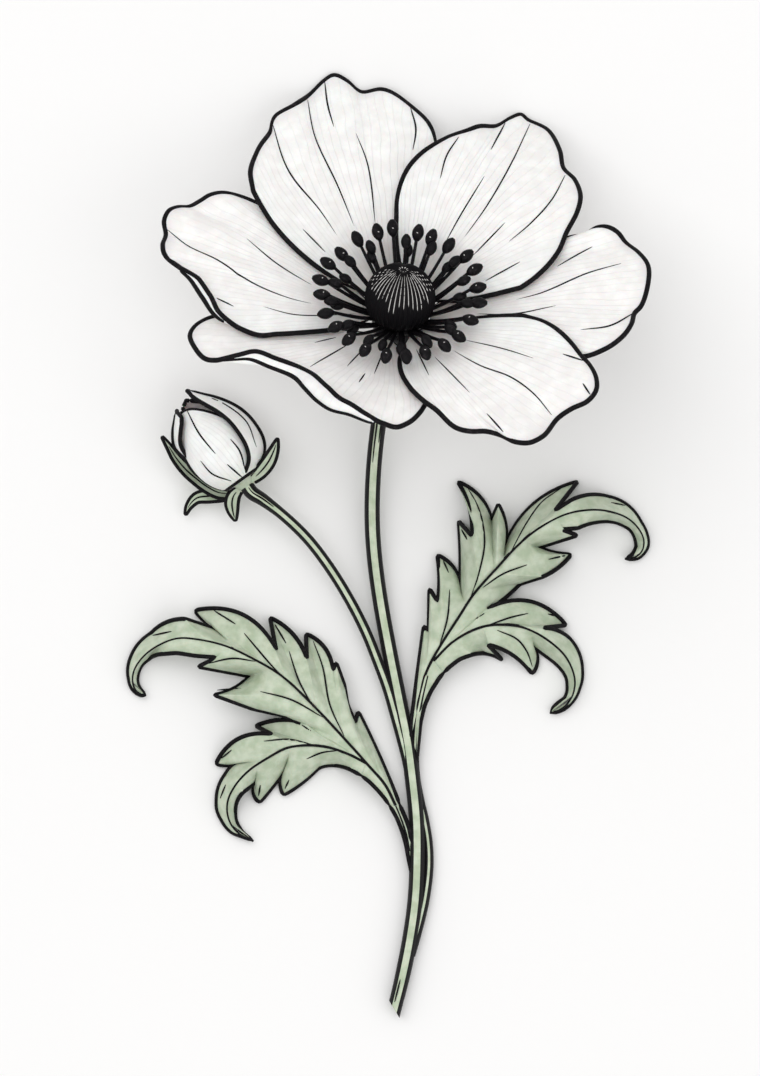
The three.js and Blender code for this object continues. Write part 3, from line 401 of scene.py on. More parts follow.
class Number:
    """A number that varies over a surface. Arithmetic on it adds Math nodes."""

    def __init__(self, finish, socket):
        self.finish = finish
        self.socket = socket

    def math(self, operation, *others):
        sockets = dict(enumerate((self, *others)))
        return self.finish.node("ShaderNodeMath", {"operation": operation}, sockets)

    def __add__(self, other):
        return self.math("ADD", other)

    def __mul__(self, other):
        return self.math("MULTIPLY", other)

    def __sub__(self, other):
        return self.math("SUBTRACT", other)

    def __rsub__(self, other):
        return self.finish.node("ShaderNodeMath", {"operation": "SUBTRACT"}, {0: other, 1: self})

    def __pow__(self, other):
        return self.math("POWER", other)

    __radd__ = __add__
    __rmul__ = __mul__

    def window(self, low, high):
        """0 below low, 1 above high, smooth between."""
        settings = {"interpolation_type": "SMOOTHSTEP"}
        sockets = {"Value": self, "From Min": low, "From Max": high}
        return self.finish.node("ShaderNodeMapRange", settings, sockets)


class Finish:
    """A procedural finish: one Principled surface and the nodes that feed it."""

    def __init__(self, name, **fixed):
        self.material = bpy.data.materials.new(name)
        self.material.use_nodes = True
        self.tree = self.material.node_tree
        self.tree.nodes.clear()
        self.surface = self.tree.nodes.new("ShaderNodeBsdfPrincipled")
        output = self.tree.nodes.new("ShaderNodeOutputMaterial")
        self.tree.links.new(self.surface.outputs["BSDF"], output.inputs["Surface"])
        for socket, value in fixed.items():
            self.surface.inputs[socket.replace("_", " ")].default_value = value

    def node(self, kind, settings=None, sockets=None, out=0):
        """A node of a kind, with its settings made first and then its sockets set or linked."""
        made = self.tree.nodes.new(kind)
        for key, value in (settings or {}).items():
            setattr(made, key, value)
        for key, value in (sockets or {}).items():
            if isinstance(value, Number):
                self.tree.links.new(value.socket, made.inputs[key])
            else:
                made.inputs[key].default_value = value
        return Number(self, made.outputs[out])

    def place(self):
        """The two numbers of the piece's place map: across and along."""
        uv = self.node("ShaderNodeUVMap", {"uv_map": "place"})
        return tuple(self.node("ShaderNodeSeparateXYZ", None, {"Vector": uv}, out=k) for k in range(2))

    def tone(self):
        return self.node("ShaderNodeAttribute", {"attribute_name": "tone"}, out="Fac")

    def noise(self, scale, detail, stretch=None, on_place=False):
        """Noise with about scale features in a metre, or in one unit of the place map."""
        if on_place:
            where = self.node("ShaderNodeUVMap", {"uv_map": "place"})
        else:
            where = self.node("ShaderNodeTexCoord", out="Object")
        if stretch:
            where = self.node("ShaderNodeVectorMath", {"operation": "MULTIPLY"}, {0: where, 1: stretch})
        return self.node("ShaderNodeTexNoise", None, {"Vector": where, "Scale": scale, "Detail": detail})

    def blend(self, share, colour_a, colour_b):
        """Colour a where share is 0, and colour b where it is 1."""
        sockets = {0: share, 6: colour_a, 7: colour_b}
        return self.node("ShaderNodeMix", {"data_type": "RGBA"}, sockets, out=2)

    def finished(self, colour, roughness, height, depth):
        """Links the colour, the roughness and a relief of the given depth in millimetres."""
        sockets = {"Height": height, "Distance": depth * MM, "Strength": 1.0}
        bump = self.node("ShaderNodeBump", None, sockets)
        links = (("Base Color", colour), ("Roughness", roughness), ("Normal", bump))
        for socket, number in links:
            self.tree.links.new(number.socket, self.surface.inputs[socket])
        return self.material


def colour(red, green, blue):
    return (red, green, blue, 1.0)


INK = colour(0.0045, 0.004, 0.005)
INK_WORN = colour(0.02, 0.016, 0.019)
# pale colour of painted highlights: a glint on anthers and streaks along the dome's ribs
GLINT_PAINT = colour(0.80, 0.78, 0.76)


def petal_finish(name, fine_veins, root_tint):
    """White petal: fine veins run from root to rim, the root is tinted, and the rim a little smoky."""
    finish = Finish(
        name, Subsurface_Weight=0.12, Subsurface_Scale=0.0012, Sheen_Weight=0.25, Sheen_Roughness=0.4
    )
    across, along = finish.place()
    wander = finish.noise(3.0, 2.0, (2.2, 1.0, 1.0), on_place=True)
    stripe = ((across + wander * 0.05) * (math.pi * fine_veins)).math("SINE").math("ABSOLUTE")
    vein = (1 - stripe) ** 7.0
    mottle = finish.noise(420.0, 3.0)
    grain = finish.noise(5200.0, 2.0)
    body = finish.blend(mottle.window(0.35, 0.7), colour(0.86, 0.845, 0.83), colour(0.93, 0.92, 0.905))
    body = finish.blend(vein * (1 - along.window(0.55, 1.0)) * 0.30, body, colour(0.60, 0.56, 0.58))
    body = finish.blend((1 - along.window(0.0, 0.28)) * 0.4, body, root_tint)
    body = finish.blend(along.window(0.93, 1.0) * 0.35, body, colour(0.62, 0.57, 0.60))
    relief = vein * 0.5 + grain * 0.35 + mottle * 0.5
    return finish.finished(body, grain * 0.2 + 0.42, relief, 0.09)


def ink_finish(name, roughness):
    """Near-black plum of veins, edges and stamens, worn a little paler in spots, with a pale
    painted highlight where the tone says."""
    finish = Finish(name, Specular_IOR_Level=0.1)
    spots = finish.noise(1500.0, 3.0)
    body = finish.blend(spots.window(0.52, 0.75), INK, INK_WORN)
    # painted highlight, pale where the tone says: the glint on an anther
    body = finish.blend(finish.tone().window(0.45, 0.7), body, GLINT_PAINT)
    return finish.finished(body, spots * 0.25 + (roughness - 0.12), finish.noise(4200.0, 3.0), 0.07)


def dome_finish():
    """Near-black carpels with pale lines painted along the ribs as highlights, where the tone says."""
    finish = Finish("dark_carpels", Specular_IOR_Level=0.1)
    tone = finish.tone()
    broken = finish.noise(1900.0, 3.0).window(0.3, 0.44)
    # the painted highlight streaks along the ribs, broken by noise
    line = tone.window(0.35, 0.8) * broken
    body = finish.blend(line, INK, GLINT_PAINT)
    return finish.finished(body, 0.5 - line * 0.1, finish.noise(3300.0, 3.0) * 0.6 + tone, 0.08)


def green_finish(name, pale, deep, ribbed):
    """Pale downy green: mottled, with fine lines along it, and near-black where the tone says:
    painted shade on the flanks of stems and stalks, and the knob's dark upper part.
    """
    finish = Finish(
        name, Sheen_Weight=0.06, Specular_IOR_Level=0.2, Subsurface_Weight=0.06, Subsurface_Scale=0.0008
    )
    tone = finish.tone()
    mottle = finish.noise(500.0, 4.0)
    down = finish.noise(5200.0, 2.0)
    lines = finish.noise(ribbed[0], 2.0, ribbed[1], on_place=True)
    body = finish.blend(mottle.window(0.3, 0.72), pale, deep)
    body = finish.blend(lines.window(0.5, 0.78) * 0.35, body, deep)
    # the tone: painted shade on stem flanks, and the knob's dark upper part
    ragged = tone + (down - 0.5) * 0.25
    body = finish.blend(ragged.window(0.4, 0.6), body, INK)
    return finish.finished(body, down * 0.25 + 0.42, lines * 0.7 + down * 0.3 + mottle * 0.4, 0.1)


PETAL = petal_finish("white_petal", 34, colour(0.60, 0.62, 0.52))
BUD_PETAL = petal_finish("white_bud_petal", 16, colour(0.66, 0.70, 0.56))
EDGE = ink_finish("dusky_edge", 0.55)
DARK = ink_finish("dark_stamen", 0.4)
CARPELS = dome_finish()
STEM = green_finish(
    "pale_stem", colour(0.60, 0.66, 0.52), colour(0.43, 0.51, 0.36), (1.0, (26.0, 0.25, 1.0))
)
LEAF = green_finish(
    "pale_leaf", colour(0.58, 0.64, 0.51), colour(0.42, 0.50, 0.36), (9.0, (1.0, 4.0, 1.0))
)


# ------------------------------------------------------------------ petals
def flower_to_plan(points):
    """From the flower's own frame, whose axis is +Z, to the plan: leaned back and raised."""
    x, y, z = np.moveaxis(np.asarray(points, float), -1, 0)
    return np.stack(
        [x, y * tilt_cosine + z * tilt_sine, ROOT_HEIGHT + z * tilt_cosine - y * tilt_sine], -1
    )


FLOWER_AXIS = np.array([0.0, tilt_sine, tilt_cosine])


def dish_height(radius):
    return DISH_DEPTH * (1 - np.exp(-((radius / DISH_SPREAD) ** 2)))


def on_dish(x, y, lift):
    """Where a point of the dish lies that is seen at (x, y) from above, a lift above the dish."""
    across = y / tilt_cosine
    for _ in range(DISH_STEPS):
        height = dish_height(math.hypot(x, across)) + lift
        across = (y - height * tilt_sine) / tilt_cosine
    return np.array([x, across, dish_height(math.hypot(x, across)) + lift])


# Each petal: the direction of its root, how far its two side edges bow out as a share of their
# length, the layers of those edges, its outline seen from above, clockwise, as (x, y, lift), and its
# veins seen from above. A folded stretch of rim adds how far it comes back over the petal (x, y, rise).
PETALS = {
    "petal_upper_left": {
        "root": 112,
        "bows": (0.14, -0.08),
        "layers": (HIGH_LAYER, LOW_LAYER),
        "outline": [
            (-24.4, 21.4, 1.3), (-24.9, 24.6, 1.3), (-23.7, 28.3, 0.9), (-21.6, 31.4, -0.4),
            (-20.8, 34, 0.6), (-17.6, 35.8, 1.2), (-15.2, 37.6, -0.2), (-12.6, 40, 0.4), (-11, 40.8, 0.9),
            (-9.1, 40, 0.6), (-6.6, 38.2, -0.6), (-2.8, 38.4, 0.4), (1.5, 36, -0.6), (4.7, 32.8, -1.4),
            (5.8, 29.6, -1.6), (5.6, 25.4, -1.2),
        ],
        "veins": [
            [(-21.1, 32.6), (-18.6, 24.9), (-13.2, 17.8), (-10.0, 13.0)],
            [(-15.5, 36.6), (-14.3, 30.5), (-10.4, 22.2), (-7.2, 14.3)],
            [(-12.5, 39.7), (-12.0, 35.8), (-11.0, 32.1)], [(-7.4, 31.0), (-5.4, 25.5), (-4.1, 15.0)],
            [(-16.3, 15.0), (-12.3, 10.9)], [(1.7, 35.4), (2.6, 31.8), (2.1, 28.1)],
        ],
    },
    "petal_upper_right": {
        "root": 59,
        "bows": (0.047, -0.05),
        "layers": (HIGH_LAYER, HIGH_LAYER),
        "outline": [
            (-0.6, 16.8, 0.9), (-0.45, 20, 0.95), (0.2, 22.8, 1), (1.5, 25.4, 0.95), (4.2, 28.3, 0.7),
            (7.7, 30.3, 0), (11, 31.4, 0.2), (13.3, 32.3, -0.4), (16.2, 32.5, -2.1), (18.7, 33.8, -2.8),
            (20.2, 34.2, -3.3), (21.3, 33.3, -3.5), (24.7, 31.7, -2.2), (26.6, 28.2, -0.8),
            (27.2, 25.2, -0.7), (29.1, 23.3, 0.2), (30, 20.5, 0.9), (29.4, 17.7, 1), (27.6, 14.4, 0.9),
            (26.4, 11.5, 0.95), (24.6, 8.9, 1), (22.3, 6.8, 1), (20, 5.3, 1),
        ],
        "veins": [
            [(9.8, 30.4), (7.8, 27.2), (6.7, 23.3)], [(17.6, 32.8), (15.1, 28.2)],
            [(21.7, 32.6), (18.7, 26.2), (14.5, 18.8), (10.2, 12.8)],
            [(14.2, 24.0), (9.8, 16.7), (7.1, 11.7)],
            [(27.5, 23.9), (25.2, 19.7), (21.7, 15.8), (17.9, 12.6)], [(17.6, 16.1), (11.9, 10.2)],
            [(20.0, 9.4), (14.2, 6.2)],
        ],
    },
    "petal_right": {
        "root": 5,
        "bows": (0.02, -0.03),
        "layers": (LOW_LAYER, LOW_LAYER),
        "outline": [
            (25.6, 12.2, -1), (28.2, 13.5, -1), (30.8, 14.2, -0.7), (32.8, 15.2, -0.1), (34.6, 15.2, 0.1),
            (36.2, 14.4, -0.3), (37.5, 12.8, -1.2), (39.7, 10.8, -0.6), (41, 9.3, 0), (41.3, 7.8, 0.2),
            (40.9, 4.7, -0.2), (40, 2.3, -0.9), (38.9, 1, -1.3), (38.3, -1, -0.6), (36.7, -3, 0.1),
            (34.2, -5, 0), (30.3, -6.2, -0.6), (26.8, -6, -0.9),
        ],
        "veins": [
            [(31.9, 12.0), (26.0, 8.5)], [(36.7, 9.1), (30.9, 7.4), (23.5, 4.2), (18.7, 2.9)],
            [(26.1, 2.1), (19.0, 0.7), (11.9, 0.7)], [(38.9, 0.9), (34.8, -1.3), (29.9, -2.0)],
        ],
    },
    "petal_lower_right": {
        "root": -52,
        "bows": (0.05, -0.13),
        "layers": (HIGH_LAYER, HIGH_LAYER),
        "outline": [
            (20.5, 0.5, 0.8), (23.3, -0.3, 0.85), (25.8, -1.8, 0.9), (28.3, -4, 0.85), (30, -6.2, 0.6),
            (31.3, -7.8, 0.3), (32.4, -10, 0.6), (32.3, -12, 0.9), (30.8, -13.8, 0.4),
            (28.3, -15.1, -0.2), (26, -16.6, -0.6), (23.5, -19.6, 0.4), (21.3, -20.7, 0.9),
            (19.2, -20.5, 0.7), (16.7, -19.3, 0), (14.2, -18.8, -0.5), (11.7, -18.8, 0),
            (9.3, -18.1, 0.7), (6, -15.3, 0.6), (4.1, -13.9, 0.8), (2, -11.8, 0.9),
        ],
        "veins": [
            [(10.2, -3.6), (17.1, -5.2), (22.2, -6.8)],
            [(7.8, -4.8), (13.2, -7.9), (18.4, -9.9), (22.2, -12.7), (25.0, -16.1)],
            [(5.3, -6.1), (11.6, -12.6)], [(2.5, -4.8), (4.9, -9.8)], [(14.3, -15.9), (17.1, -18.9)],
            [(26.9, -6.0), (30.3, -7.1)], [(30.2, -10.9), (31.4, -12.7)],
        ],
    },
    "petal_lower_left": {
        "root": -124,
        "bows": (0.05, 0.02),
        "layers": (LOW_LAYER, LOW_LAYER),
        "outline": [
            (5.4, -11.5, -0.8), (4.3, -14, -0.7), (3.2, -15.6, -0.6), (1.3, -17.3, -0.5),
            (-0.8, -18.1, -0.4), (-3.3, -17.7, -0.2, 0.1, 0.4, 0.3), (-5.8, -17.4, 0, 0.2, 1.5, 1.4),
            (-8.7, -16.6, 0, 0.8, 2.2, 2), (-12.2, -16, 0, 2, 2.9, 2.6), (-14.4, -14.8, 0, 2.5, 3.3, 2.6),
            (-16.7, -12.5, -0.2, 2.7, 2.9, 2.2), (-18.4, -10.4, -0.6, 2.1, 2.1, 1.6),
            (-22.3, -9, -0.4, 1.6, 2.4, 1.8), (-24.7, -8.4, -0.2, 1, 2.9, 2),
            (-27.4, -7.9, 0, 0.5, 1.8, 1.4), (-30.5, -7.2, 0.2, 0.1, 0.3, 0.3), (-32.2, -6.6, 0.2),
            (-33.9, -5, 0), (-34.8, -3, -0.4), (-34.1, -1.4, -0.7), (-32.5, -0.2, -0.9), (-29, 0.9, -0.9),
        ],
        "veins": [
            [(-14.4, -4.2), (-10.4, -3.2)], [(-15.0, -8.2), (-7.9, -3.9)], [(-8.9, -8.2), (-5.8, -4.9)],
            [(-4.4, -9.5), (-2.5, -4.8)], [(-6.9, -10.8), (-5.8, -9.2)],
        ],
    },
    "petal_left": {
        "root": 171,
        "bows": (0.05, -0.02),
        "layers": (HIGH_LAYER, LOW_LAYER),
        "outline": [
            (-20.4, -2.6, 0.7), (-23.6, -2.6, 0.7), (-26.7, -1.9, 0.6, 0, 0.3, 0.3),
            (-28.8, -1.1, 0.5, 0.4, 0.7, 0.9), (-31, 0.3, 0.4, 0.9, 0.9, 1.3),
            (-33.3, 3, 0.2, 1.8, 0.9, 1.5), (-35.3, 6.1, 0, 1.9, 0.5, 1.3),
            (-36.9, 8.4, -0.2, 0.4, 0.1, 0.4), (-38, 9.5, -0.3), (-39.1, 10.7, 0.4), (-39.4, 12.4, 0.6),
            (-38.9, 14.2, -0.4), (-39.2, 16.2, 0.4), (-38.5, 17.9, 0.8), (-37, 18.7, 0.2),
            (-35, 18.8, -0.6), (-33.3, 19.6, -0.4), (-31.6, 20.6, 0), (-29.6, 21.1, 0),
            (-27.5, 20.8, -0.4), (-23.8, 19.2, -0.9), (-21, 17.4, -0.9),
        ],
        "veins": [
            [(-38.6, 14.9), (-35.4, 12.1), (-30.2, 9.6), (-24.4, 5.8), (-18.7, 3.4), (-13.4, 2.1)],
            [(-25.7, 13.4), (-20.4, 9.0), (-14.1, 5.1)], [(-22.9, 1.9), (-17.3, 0.5), (-5.8, 0.7)],
            [(-30.9, 3.5), (-27.6, 1.9)],
        ],
    },
}


def petal_surface(root, bows, layers, outline):
    """A petal as a function of u, from root to rim, and v, from one side edge to the other, in the
    plan. A line of constant v runs straight from the root to the outline, bowed sideways, on the
    dish plus a lift that changes from its layer to the outline's own. Past the flat share it is a
    cubic Bezier curve, which a folded rim bends up and back over the petal. Shallow lengthwise
    waves and a finer ruffle near the rim are added to the height."""
    rim = np.array([on_dish(*point[:3]) for point in outline])
    shifts = np.array([(*point[3:], 0, 0, 0)[:3] for point in outline], float)
    back = np.array([on_dish(*(np.array(point[:3]) + shift)) for point, shift in zip(outline, shifts)])
    edge, fold = Curve(rim), Curve(back - rim)
    root_angle = math.radians(root)

    def surface(u, v):
        u, v = np.broadcast_arrays(np.asarray(u, float), np.asarray(v, float))
        at = edge.parameter_at(v)
        end, shift = edge.pick(at), fold.pick(at)
        angle = root_angle + PETAL_ROOT_SPREAD * (1 - 2 * v)
        start = PETAL_ROOT_RADIUS * np.stack([np.cos(angle), np.sin(angle), 0 * v], -1)
        chord = (end - start) * (1, 1, 0)
        sideways = np.stack([-chord[..., 1], chord[..., 0], 0 * v], -1)
        layer = mix(layers[0], layers[1], smooth(v))
        end_lift = end[..., 2] - dish_height(np.hypot(end[..., 0], end[..., 1]))

        def flat(t):
            t = np.broadcast_to(t, v.shape)
            p = start + chord * t[..., None]
            p = p + sideways * (mix(bows[0], bows[1], v) * 4 * t * (1 - t))[..., None]
            p[..., 2] = dish_height(np.hypot(p[..., 0], p[..., 1])) + mix(layer, end_lift, t**3)
            return p

        folded = smooth(np.linalg.norm(shift, axis=-1, keepdims=True) / FULL_FOLD)
        into = flat(FLAT_SHARE)
        bend = end + (end - into) * FOLD_RUN
        one = mix(flat(mix(FLAT_SHARE, 1, 1 / 3)), bend, folded)
        two = mix(flat(mix(FLAT_SHARE, 1, 2 / 3)), bend + shift * FOLD_PULL, folded)
        w = np.clip((u - FLAT_SHARE) / (1 - FLAT_SHARE), 0, 1.001)[..., None]
        rolled = (1 - w) ** 3 * into + 3 * (1 - w) ** 2 * w * one + 3 * (1 - w) * w**2 * two
        rolled = rolled + w**3 * (end + shift)
        made = np.where((u <= FLAT_SHARE)[..., None], flat(u), rolled)
        phase = 2 * np.pi * (WAVES * v + 0.12 * np.sin(5 * u)) + root_angle
        waves = WAVE_HEIGHT * np.sin(phase) * np.sin(np.pi * u) ** 2
        ruffle = RUFFLE_HEIGHT * np.sin(2 * np.pi * RUFFLES * v + 3 * root_angle) * u**5
        made[..., 2] += waves + ruffle * (1 - folded[..., 0])
        return flower_to_plan(made)

    def far(v):
        """How much of the petal lies open at v: its rim is hidden where it is folded."""
        shift = np.linalg.norm(fold.pick(edge.parameter_at(v)), axis=-1)
        return mix(0.995, FLAT_SHARE + 0.04, smooth(shift / FULL_FOLD))

    return surface, far


def petal_edge(surface):
    """The bead along a petal's two side edges and its rim."""
    side = np.concatenate([np.linspace(0.03, FLAT_SHARE, 60), np.linspace(FLAT_SHARE, 1, 24)[1:]])
    rim = np.linspace(0, 1, 340)[1:-1]
    u = np.concatenate([side, np.ones(len(rim)), side[::-1]])
    v = np.concatenate([np.zeros(len(side)), rim, np.ones(len(side))])
    radius = RIM_BEAD * mix(0.45, 1.0, smooth((u - 0.05) / 0.4))
    return tube(surface(u, v), radius, FLOWER_AXIS, sides=10)


def fold_shade_line(surface):
    """A dark bead of painted shade on the crest of a folded rim: at each v, the point of the rim's bend
    that stands furthest out from the petal as seen from above, where the bend turns back before the rim."""
    v = np.linspace(0, 1, 400)
    u = np.linspace(FLAT_SHARE, 1, 60)
    sheet = surface(u[:, None], v[None])
    outwards = unit((sheet[len(u) // 3] - sheet[0]) * (1, 1, 0))
    reach = np.sum((sheet - sheet[0]) * outwards, axis=-1)
    crest = np.argmax(reach, axis=0)
    turned_back = np.flatnonzero(reach.max(axis=0) - reach[-1] > CREST_REACH)
    stretch = np.arange(turned_back[0], turned_back[-1] + 1)
    path = sheet[crest[stretch], stretch] + FOLD_STAND * outwards[stretch]
    kernel = np.ones(CREST_WINDOW) / CREST_WINDOW
    padded = np.pad(path, ((CREST_WINDOW // 2,) * 2, (0, 0)), "edge")
    path = np.stack([np.convolve(column, kernel, "valid") for column in padded.T], -1)
    return tube(path, tapered(len(path), RIM_BEAD, 0.5), sides=10)


def make_petals():
    u = np.concatenate([np.linspace(0, FLAT_SHARE, 44), np.linspace(FLAT_SHARE, 1, 30)[1:]])
    v = np.linspace(0, 1, 110)
    for name, petal in PETALS.items():
        surface, far = petal_surface(petal["root"], petal["bows"], petal["layers"], petal["outline"])
        middle = surface(u[:, None], v[None])
        margin = np.minimum(6 * np.minimum(v, 1 - v)[None], 5 * (1 - u[:, None]))
        skin = mix(PETAL_THIN, PETAL_THICK, smooth(margin) * (1 - 0.6 * u[:, None]))
        blade = slab(middle, skin)
        blade.place[:, 1] = np.repeat(u, 2 * len(v))
        add_piece(name.replace("petal", "blade"), blade, PETAL, "petal", name)
        edges = [petal_edge(surface)]
        if any(len(point) > 3 for point in petal["outline"]):
            # painted shade along the crest of a folded rim
            edges.append(fold_shade_line(surface))
        add_piece(name.replace("petal", "edge"), joined(edges), EDGE, "dark_centre")
        veins = veins_on(surface, petal["veins"], VEIN_SKIN, far, FLOWER_AXIS)
        add_piece(name.replace("petal", "veins"), joined(veins), EDGE, "dark_centre")


# ------------------------------------------------------------------ the flower's middle
CROWN = unit(np.array([0.1, 0.84, 0.54]))  # where the dome's ribs meet
DOME_RIBS = 44


def make_dome():
    """A globe whose radius rises along narrow ribs, which run from its crown: with a the angle
    round the crown, the rib's share is the cosine of ribs times a, raised to a power, and it
    fades at the crown. The globe is cut flat where it sits on its neck."""
    from_crown = np.linspace(0.02, math.pi - 0.02, 150)[:, None]
    count = DOME_RIBS * RIB_POINTS
    around = 2 * np.pi * np.arange(count)[None] / count
    side = unit(np.cross(CROWN, UP))
    front = np.cross(side, CROWN)
    ridge = np.maximum(0, np.cos(DOME_RIBS * around)) ** 2.5
    depth = RIB_DEPTH * smooth(from_crown / 0.5) * smooth((math.pi - from_crown) / 0.6)
    dimple = 0.5 * np.exp(-((from_crown / 0.16) ** 2))
    radius = DOME_RADIUS - depth * (1 - ridge) - dimple
    centre = flower_to_plan([0, 0, DOME_CENTRE])
    spoke = side * np.cos(around)[..., None] + front * np.sin(around)[..., None]
    points = CROWN * np.cos(from_crown)[..., None] + spoke * np.sin(from_crown)[..., None]
    points = centre + points * radius[..., None]
    above = (points - flower_to_plan([0, 0, DOME_UNDERSIDE])) @ FLOWER_AXIS
    points = points - np.minimum(above, 0)[..., None] * FLOWER_AXIS
    # Each rib's painted highlight, a pale line, starts and stops at its own place. These painted
    # highlights lie on the front half alone, and are broken into dots towards the sides.
    start, stop = np.random.default_rng(5).uniform((0.16, -0.14), (0.36, 0.14), (DOME_RIBS, 2)).T
    rib = np.round(np.arange(count) / RIB_POINTS).astype(int) % DOME_RIBS
    frontness = np.sin(2 * np.pi * rib / DOME_RIBS)
    stop = (stop[rib] + mix(1.2, 1.52, frontness.clip(0) ** 2)) * smooth((frontness + 0.15) / 0.1)
    inside = smooth((from_crown - start[rib]) / 0.1) * smooth((stop - from_crown) / 0.2)
    dots = smooth(np.sin(34 * from_crown + 2.4 * rib) * 1.5)
    inside = inside * mix(dots, 1.0, smooth((frontness - 0.3) / 0.2))
    # painted highlights: a ring of pale dots round the crown
    crown_glints = (np.sin(9 * around) > 0.55) * smooth(1 - np.abs(from_crown - 0.12) / 0.05)
    tone = np.maximum(inside * np.maximum(0, np.cos(DOME_RIBS * around)) ** 4, crown_glints)
    place = np.stack(np.broadcast_arrays(around / (2 * np.pi), from_crown / math.pi), -1)
    globe = closed_rings(points, place, tone)
    heights = (RING_BOTTOM, RING_TOP, DOME_UNDERSIDE + 0.3)
    neck = turned([(DOME_NECK, height) for height in heights], flower_to_plan, 40)
    add_piece("dome_of_carpels", joined([globe, neck]), CARPELS, "dark_centre", "carpel_dome")


# Stamens stand in whorls: how many, how far out and how high their anthers are, the first angle,
# and the size of their anthers against the largest.
WHORLS = [(24, 11.9, 6.9, 0.06, 1.0), (14, 10.1, 6.4, 0.2, 0.86), (10, 9.2, 5.0, 0.1, 0.8)]
# Each draw is the last one times a factor plus a step, with as many whole ranges taken off as it holds.
DRAW_FACTOR = 1103515245.0
DRAW_STEP = 12345.0
DRAW_RANGE = 2147483648.0
FIRST_DRAW = 7.0


def stamen_places():
    """For each stamen its angle, reach, height and size, by a seeded draw."""
    seed = FIRST_DRAW
    places = []
    for count, reach, height, first, size in WHORLS:
        for k in range(count):
            draws = []
            for _ in range(3):
                seed = math.fmod(seed * DRAW_FACTOR + DRAW_STEP, DRAW_RANGE)
                draws.append(seed / DRAW_RANGE - 0.5)
            angle = first + 2 * math.pi * (k + 0.3 * draws[0]) / count
            places.append((angle, reach + 0.9 * draws[1], height + 0.8 * draws[2], size))
    return places


def make_stamens():
    """A filament is a quadratic Bezier curve from the ring through a low knee to its tip. Its anther
    is a two-lobed oval that points outwards, and upwards by less towards the flower's front, so
    that none hides behind its own end."""
    inner, outer = DOME_NECK + GAP, KNOB_RADIUS
    foot_radius, foot_height = (inner + outer) / 2, (RING_BOTTOM + RING_TOP) / 2
    wall = [(outer, RING_BOTTOM), (outer, RING_TOP), (inner, RING_TOP), (inner, RING_BOTTOM)]
    # a painted highlight: a pale spot on the anther's upper side, where its gloss would catch the light
    painted_glint = np.zeros((ANTHER_STEPS, ANTHER_STEPS))
    painted_glint[5, 3] = 0.78  # near the middle of the upper side
    filaments = [turned([*wall, wall[0]], flower_to_plan, 60)]
    anthers = []
    t = np.linspace(0, 1, 16)[:, None]
    share = np.linspace(0, 1, ANTHER_STEPS)
    around = 2 * np.pi * np.arange(ANTHER_STEPS) / ANTHER_STEPS
    lobed = 1 - 0.16 * np.abs(np.sin(around)) ** 6 + 0.05 * np.cos(2 * around)
    for k, (angle, far, high, size) in enumerate(stamen_places()):
        spoke = np.array([math.cos(angle), math.sin(angle), 0])
        foot = spoke * foot_radius + UP * foot_height
        knee = spoke * mix(foot_radius, far, KNEE_SHARE) + UP * (foot_height + KNEE_RISE * high)
        tip = spoke * far + UP * high
        line = (1 - t) ** 2 * foot + 2 * t * (1 - t) * knee + t**2 * tip
        side = np.array([-math.sin(angle), math.cos(angle), 0])
        radius = FILAMENT_RADIUS * mix(1.1, 0.85, t[:, 0])
        filaments.append(tube(flower_to_plan(line), radius, direction_to_plan(UP), sides=8))
        points_to = unit(spoke + UP * (0.25 + 0.35 * math.sin(angle)))
        body = flower_to_plan(tip + points_to * ((share - 0.06) * (ANTHER_LENGTH * size))[:, None])
        oval = ANTHER_RADIUS * size * np.sin(np.pi * (0.06 + 0.9 * share)) ** 0.62
        up = direction_to_plan(np.cross(points_to, side))
        # most of the outer whorl gets the painted highlight
        has_glint = k % 5 != 3 and k < WHORLS[0][0]  # most of the outer whorl has a fleck
        anthers.append(tube(body, oval[:, None] * lobed, up, ANTHER_STEPS, painted_glint * has_glint))
    add_piece("filaments", joined(filaments), DARK, "dark_centre", "stamens")
    add_piece("anthers", joined(anthers), DARK, "dark_centre", "stamens")


def direction_to_plan(vector):
    return flower_to_plan(vector) - flower_to_plan((0, 0, 0))


# ------------------------------------------------------------------ stems
STEM_LINE = Curve(
    [
        flower_to_plan((0, 0, -3)), flower_to_plan((-0.5, -0.6, -7)), (-2.4, -10, 11.2), (-3.4, -16, 6.2),
        (-4.2, -22.5, 3.8), (-4.6, -29, 2.9), (-4.6, -34.5, 2.5), (-4.2, -40, 2.2), (-3.3, -46.7, 1.9),
        (-1.8, -55, 1.6), (-0.2, -63, 1.4), (1.2, -70, 1.3), (2.1, -76.7, 1.3), (2.75, -83.3, 1.3),
        (2.85, -90, 1.3), (2.55, -96.7, 1.3), (1.65, -103.3, 1.3), (0.3, -110, 1.3), (-0.95, -115, 1.3),
    ]
)
BUD_FOOT = np.array([-26.2, -26.7, 6.3])
BUD_AXIS = unit(np.array([-0.583, 0.812, -0.01]))
BUD_LEFT = unit(np.array([-0.812, -0.583, 0.0]))
BUD_UP = np.cross(BUD_AXIS, BUD_LEFT)
STALK_LINE = Curve(
    [
        (1.95, -77, 1.3), (1, -72.5, 1.5), (-0.8, -65.8, 1.5), (-2.1, -61.3, 1.8), (-3.8, -56.7, 2.1),
        (-5.7, -52, 2.5), (-8.4, -46.7, 3), (-11.8, -41.2, 3.7), (-15.4, -36.5, 4.4), (-19.2, -32.8, 5.1),
        (-22.8, -30, 5.7), BUD_FOOT - 2.5 * BUD_AXIS, BUD_FOOT - 1.0 * BUD_AXIS,
    ]
)
STEM_CUT = -1.2  # how far the slant of the cut end reaches along the stem
# Fine lines: the shares of the length at which each starts and stops, and its angle from the top.
STEM_SCORES = [(0.11, 0.235, 11), (0.11, 0.205, -20), (0.958, 0.99, 11)]
STALK_SCORES = [(0.93, 0.995, -24), (0.9, 0.995, 6), (0.94, 0.995, 30)]


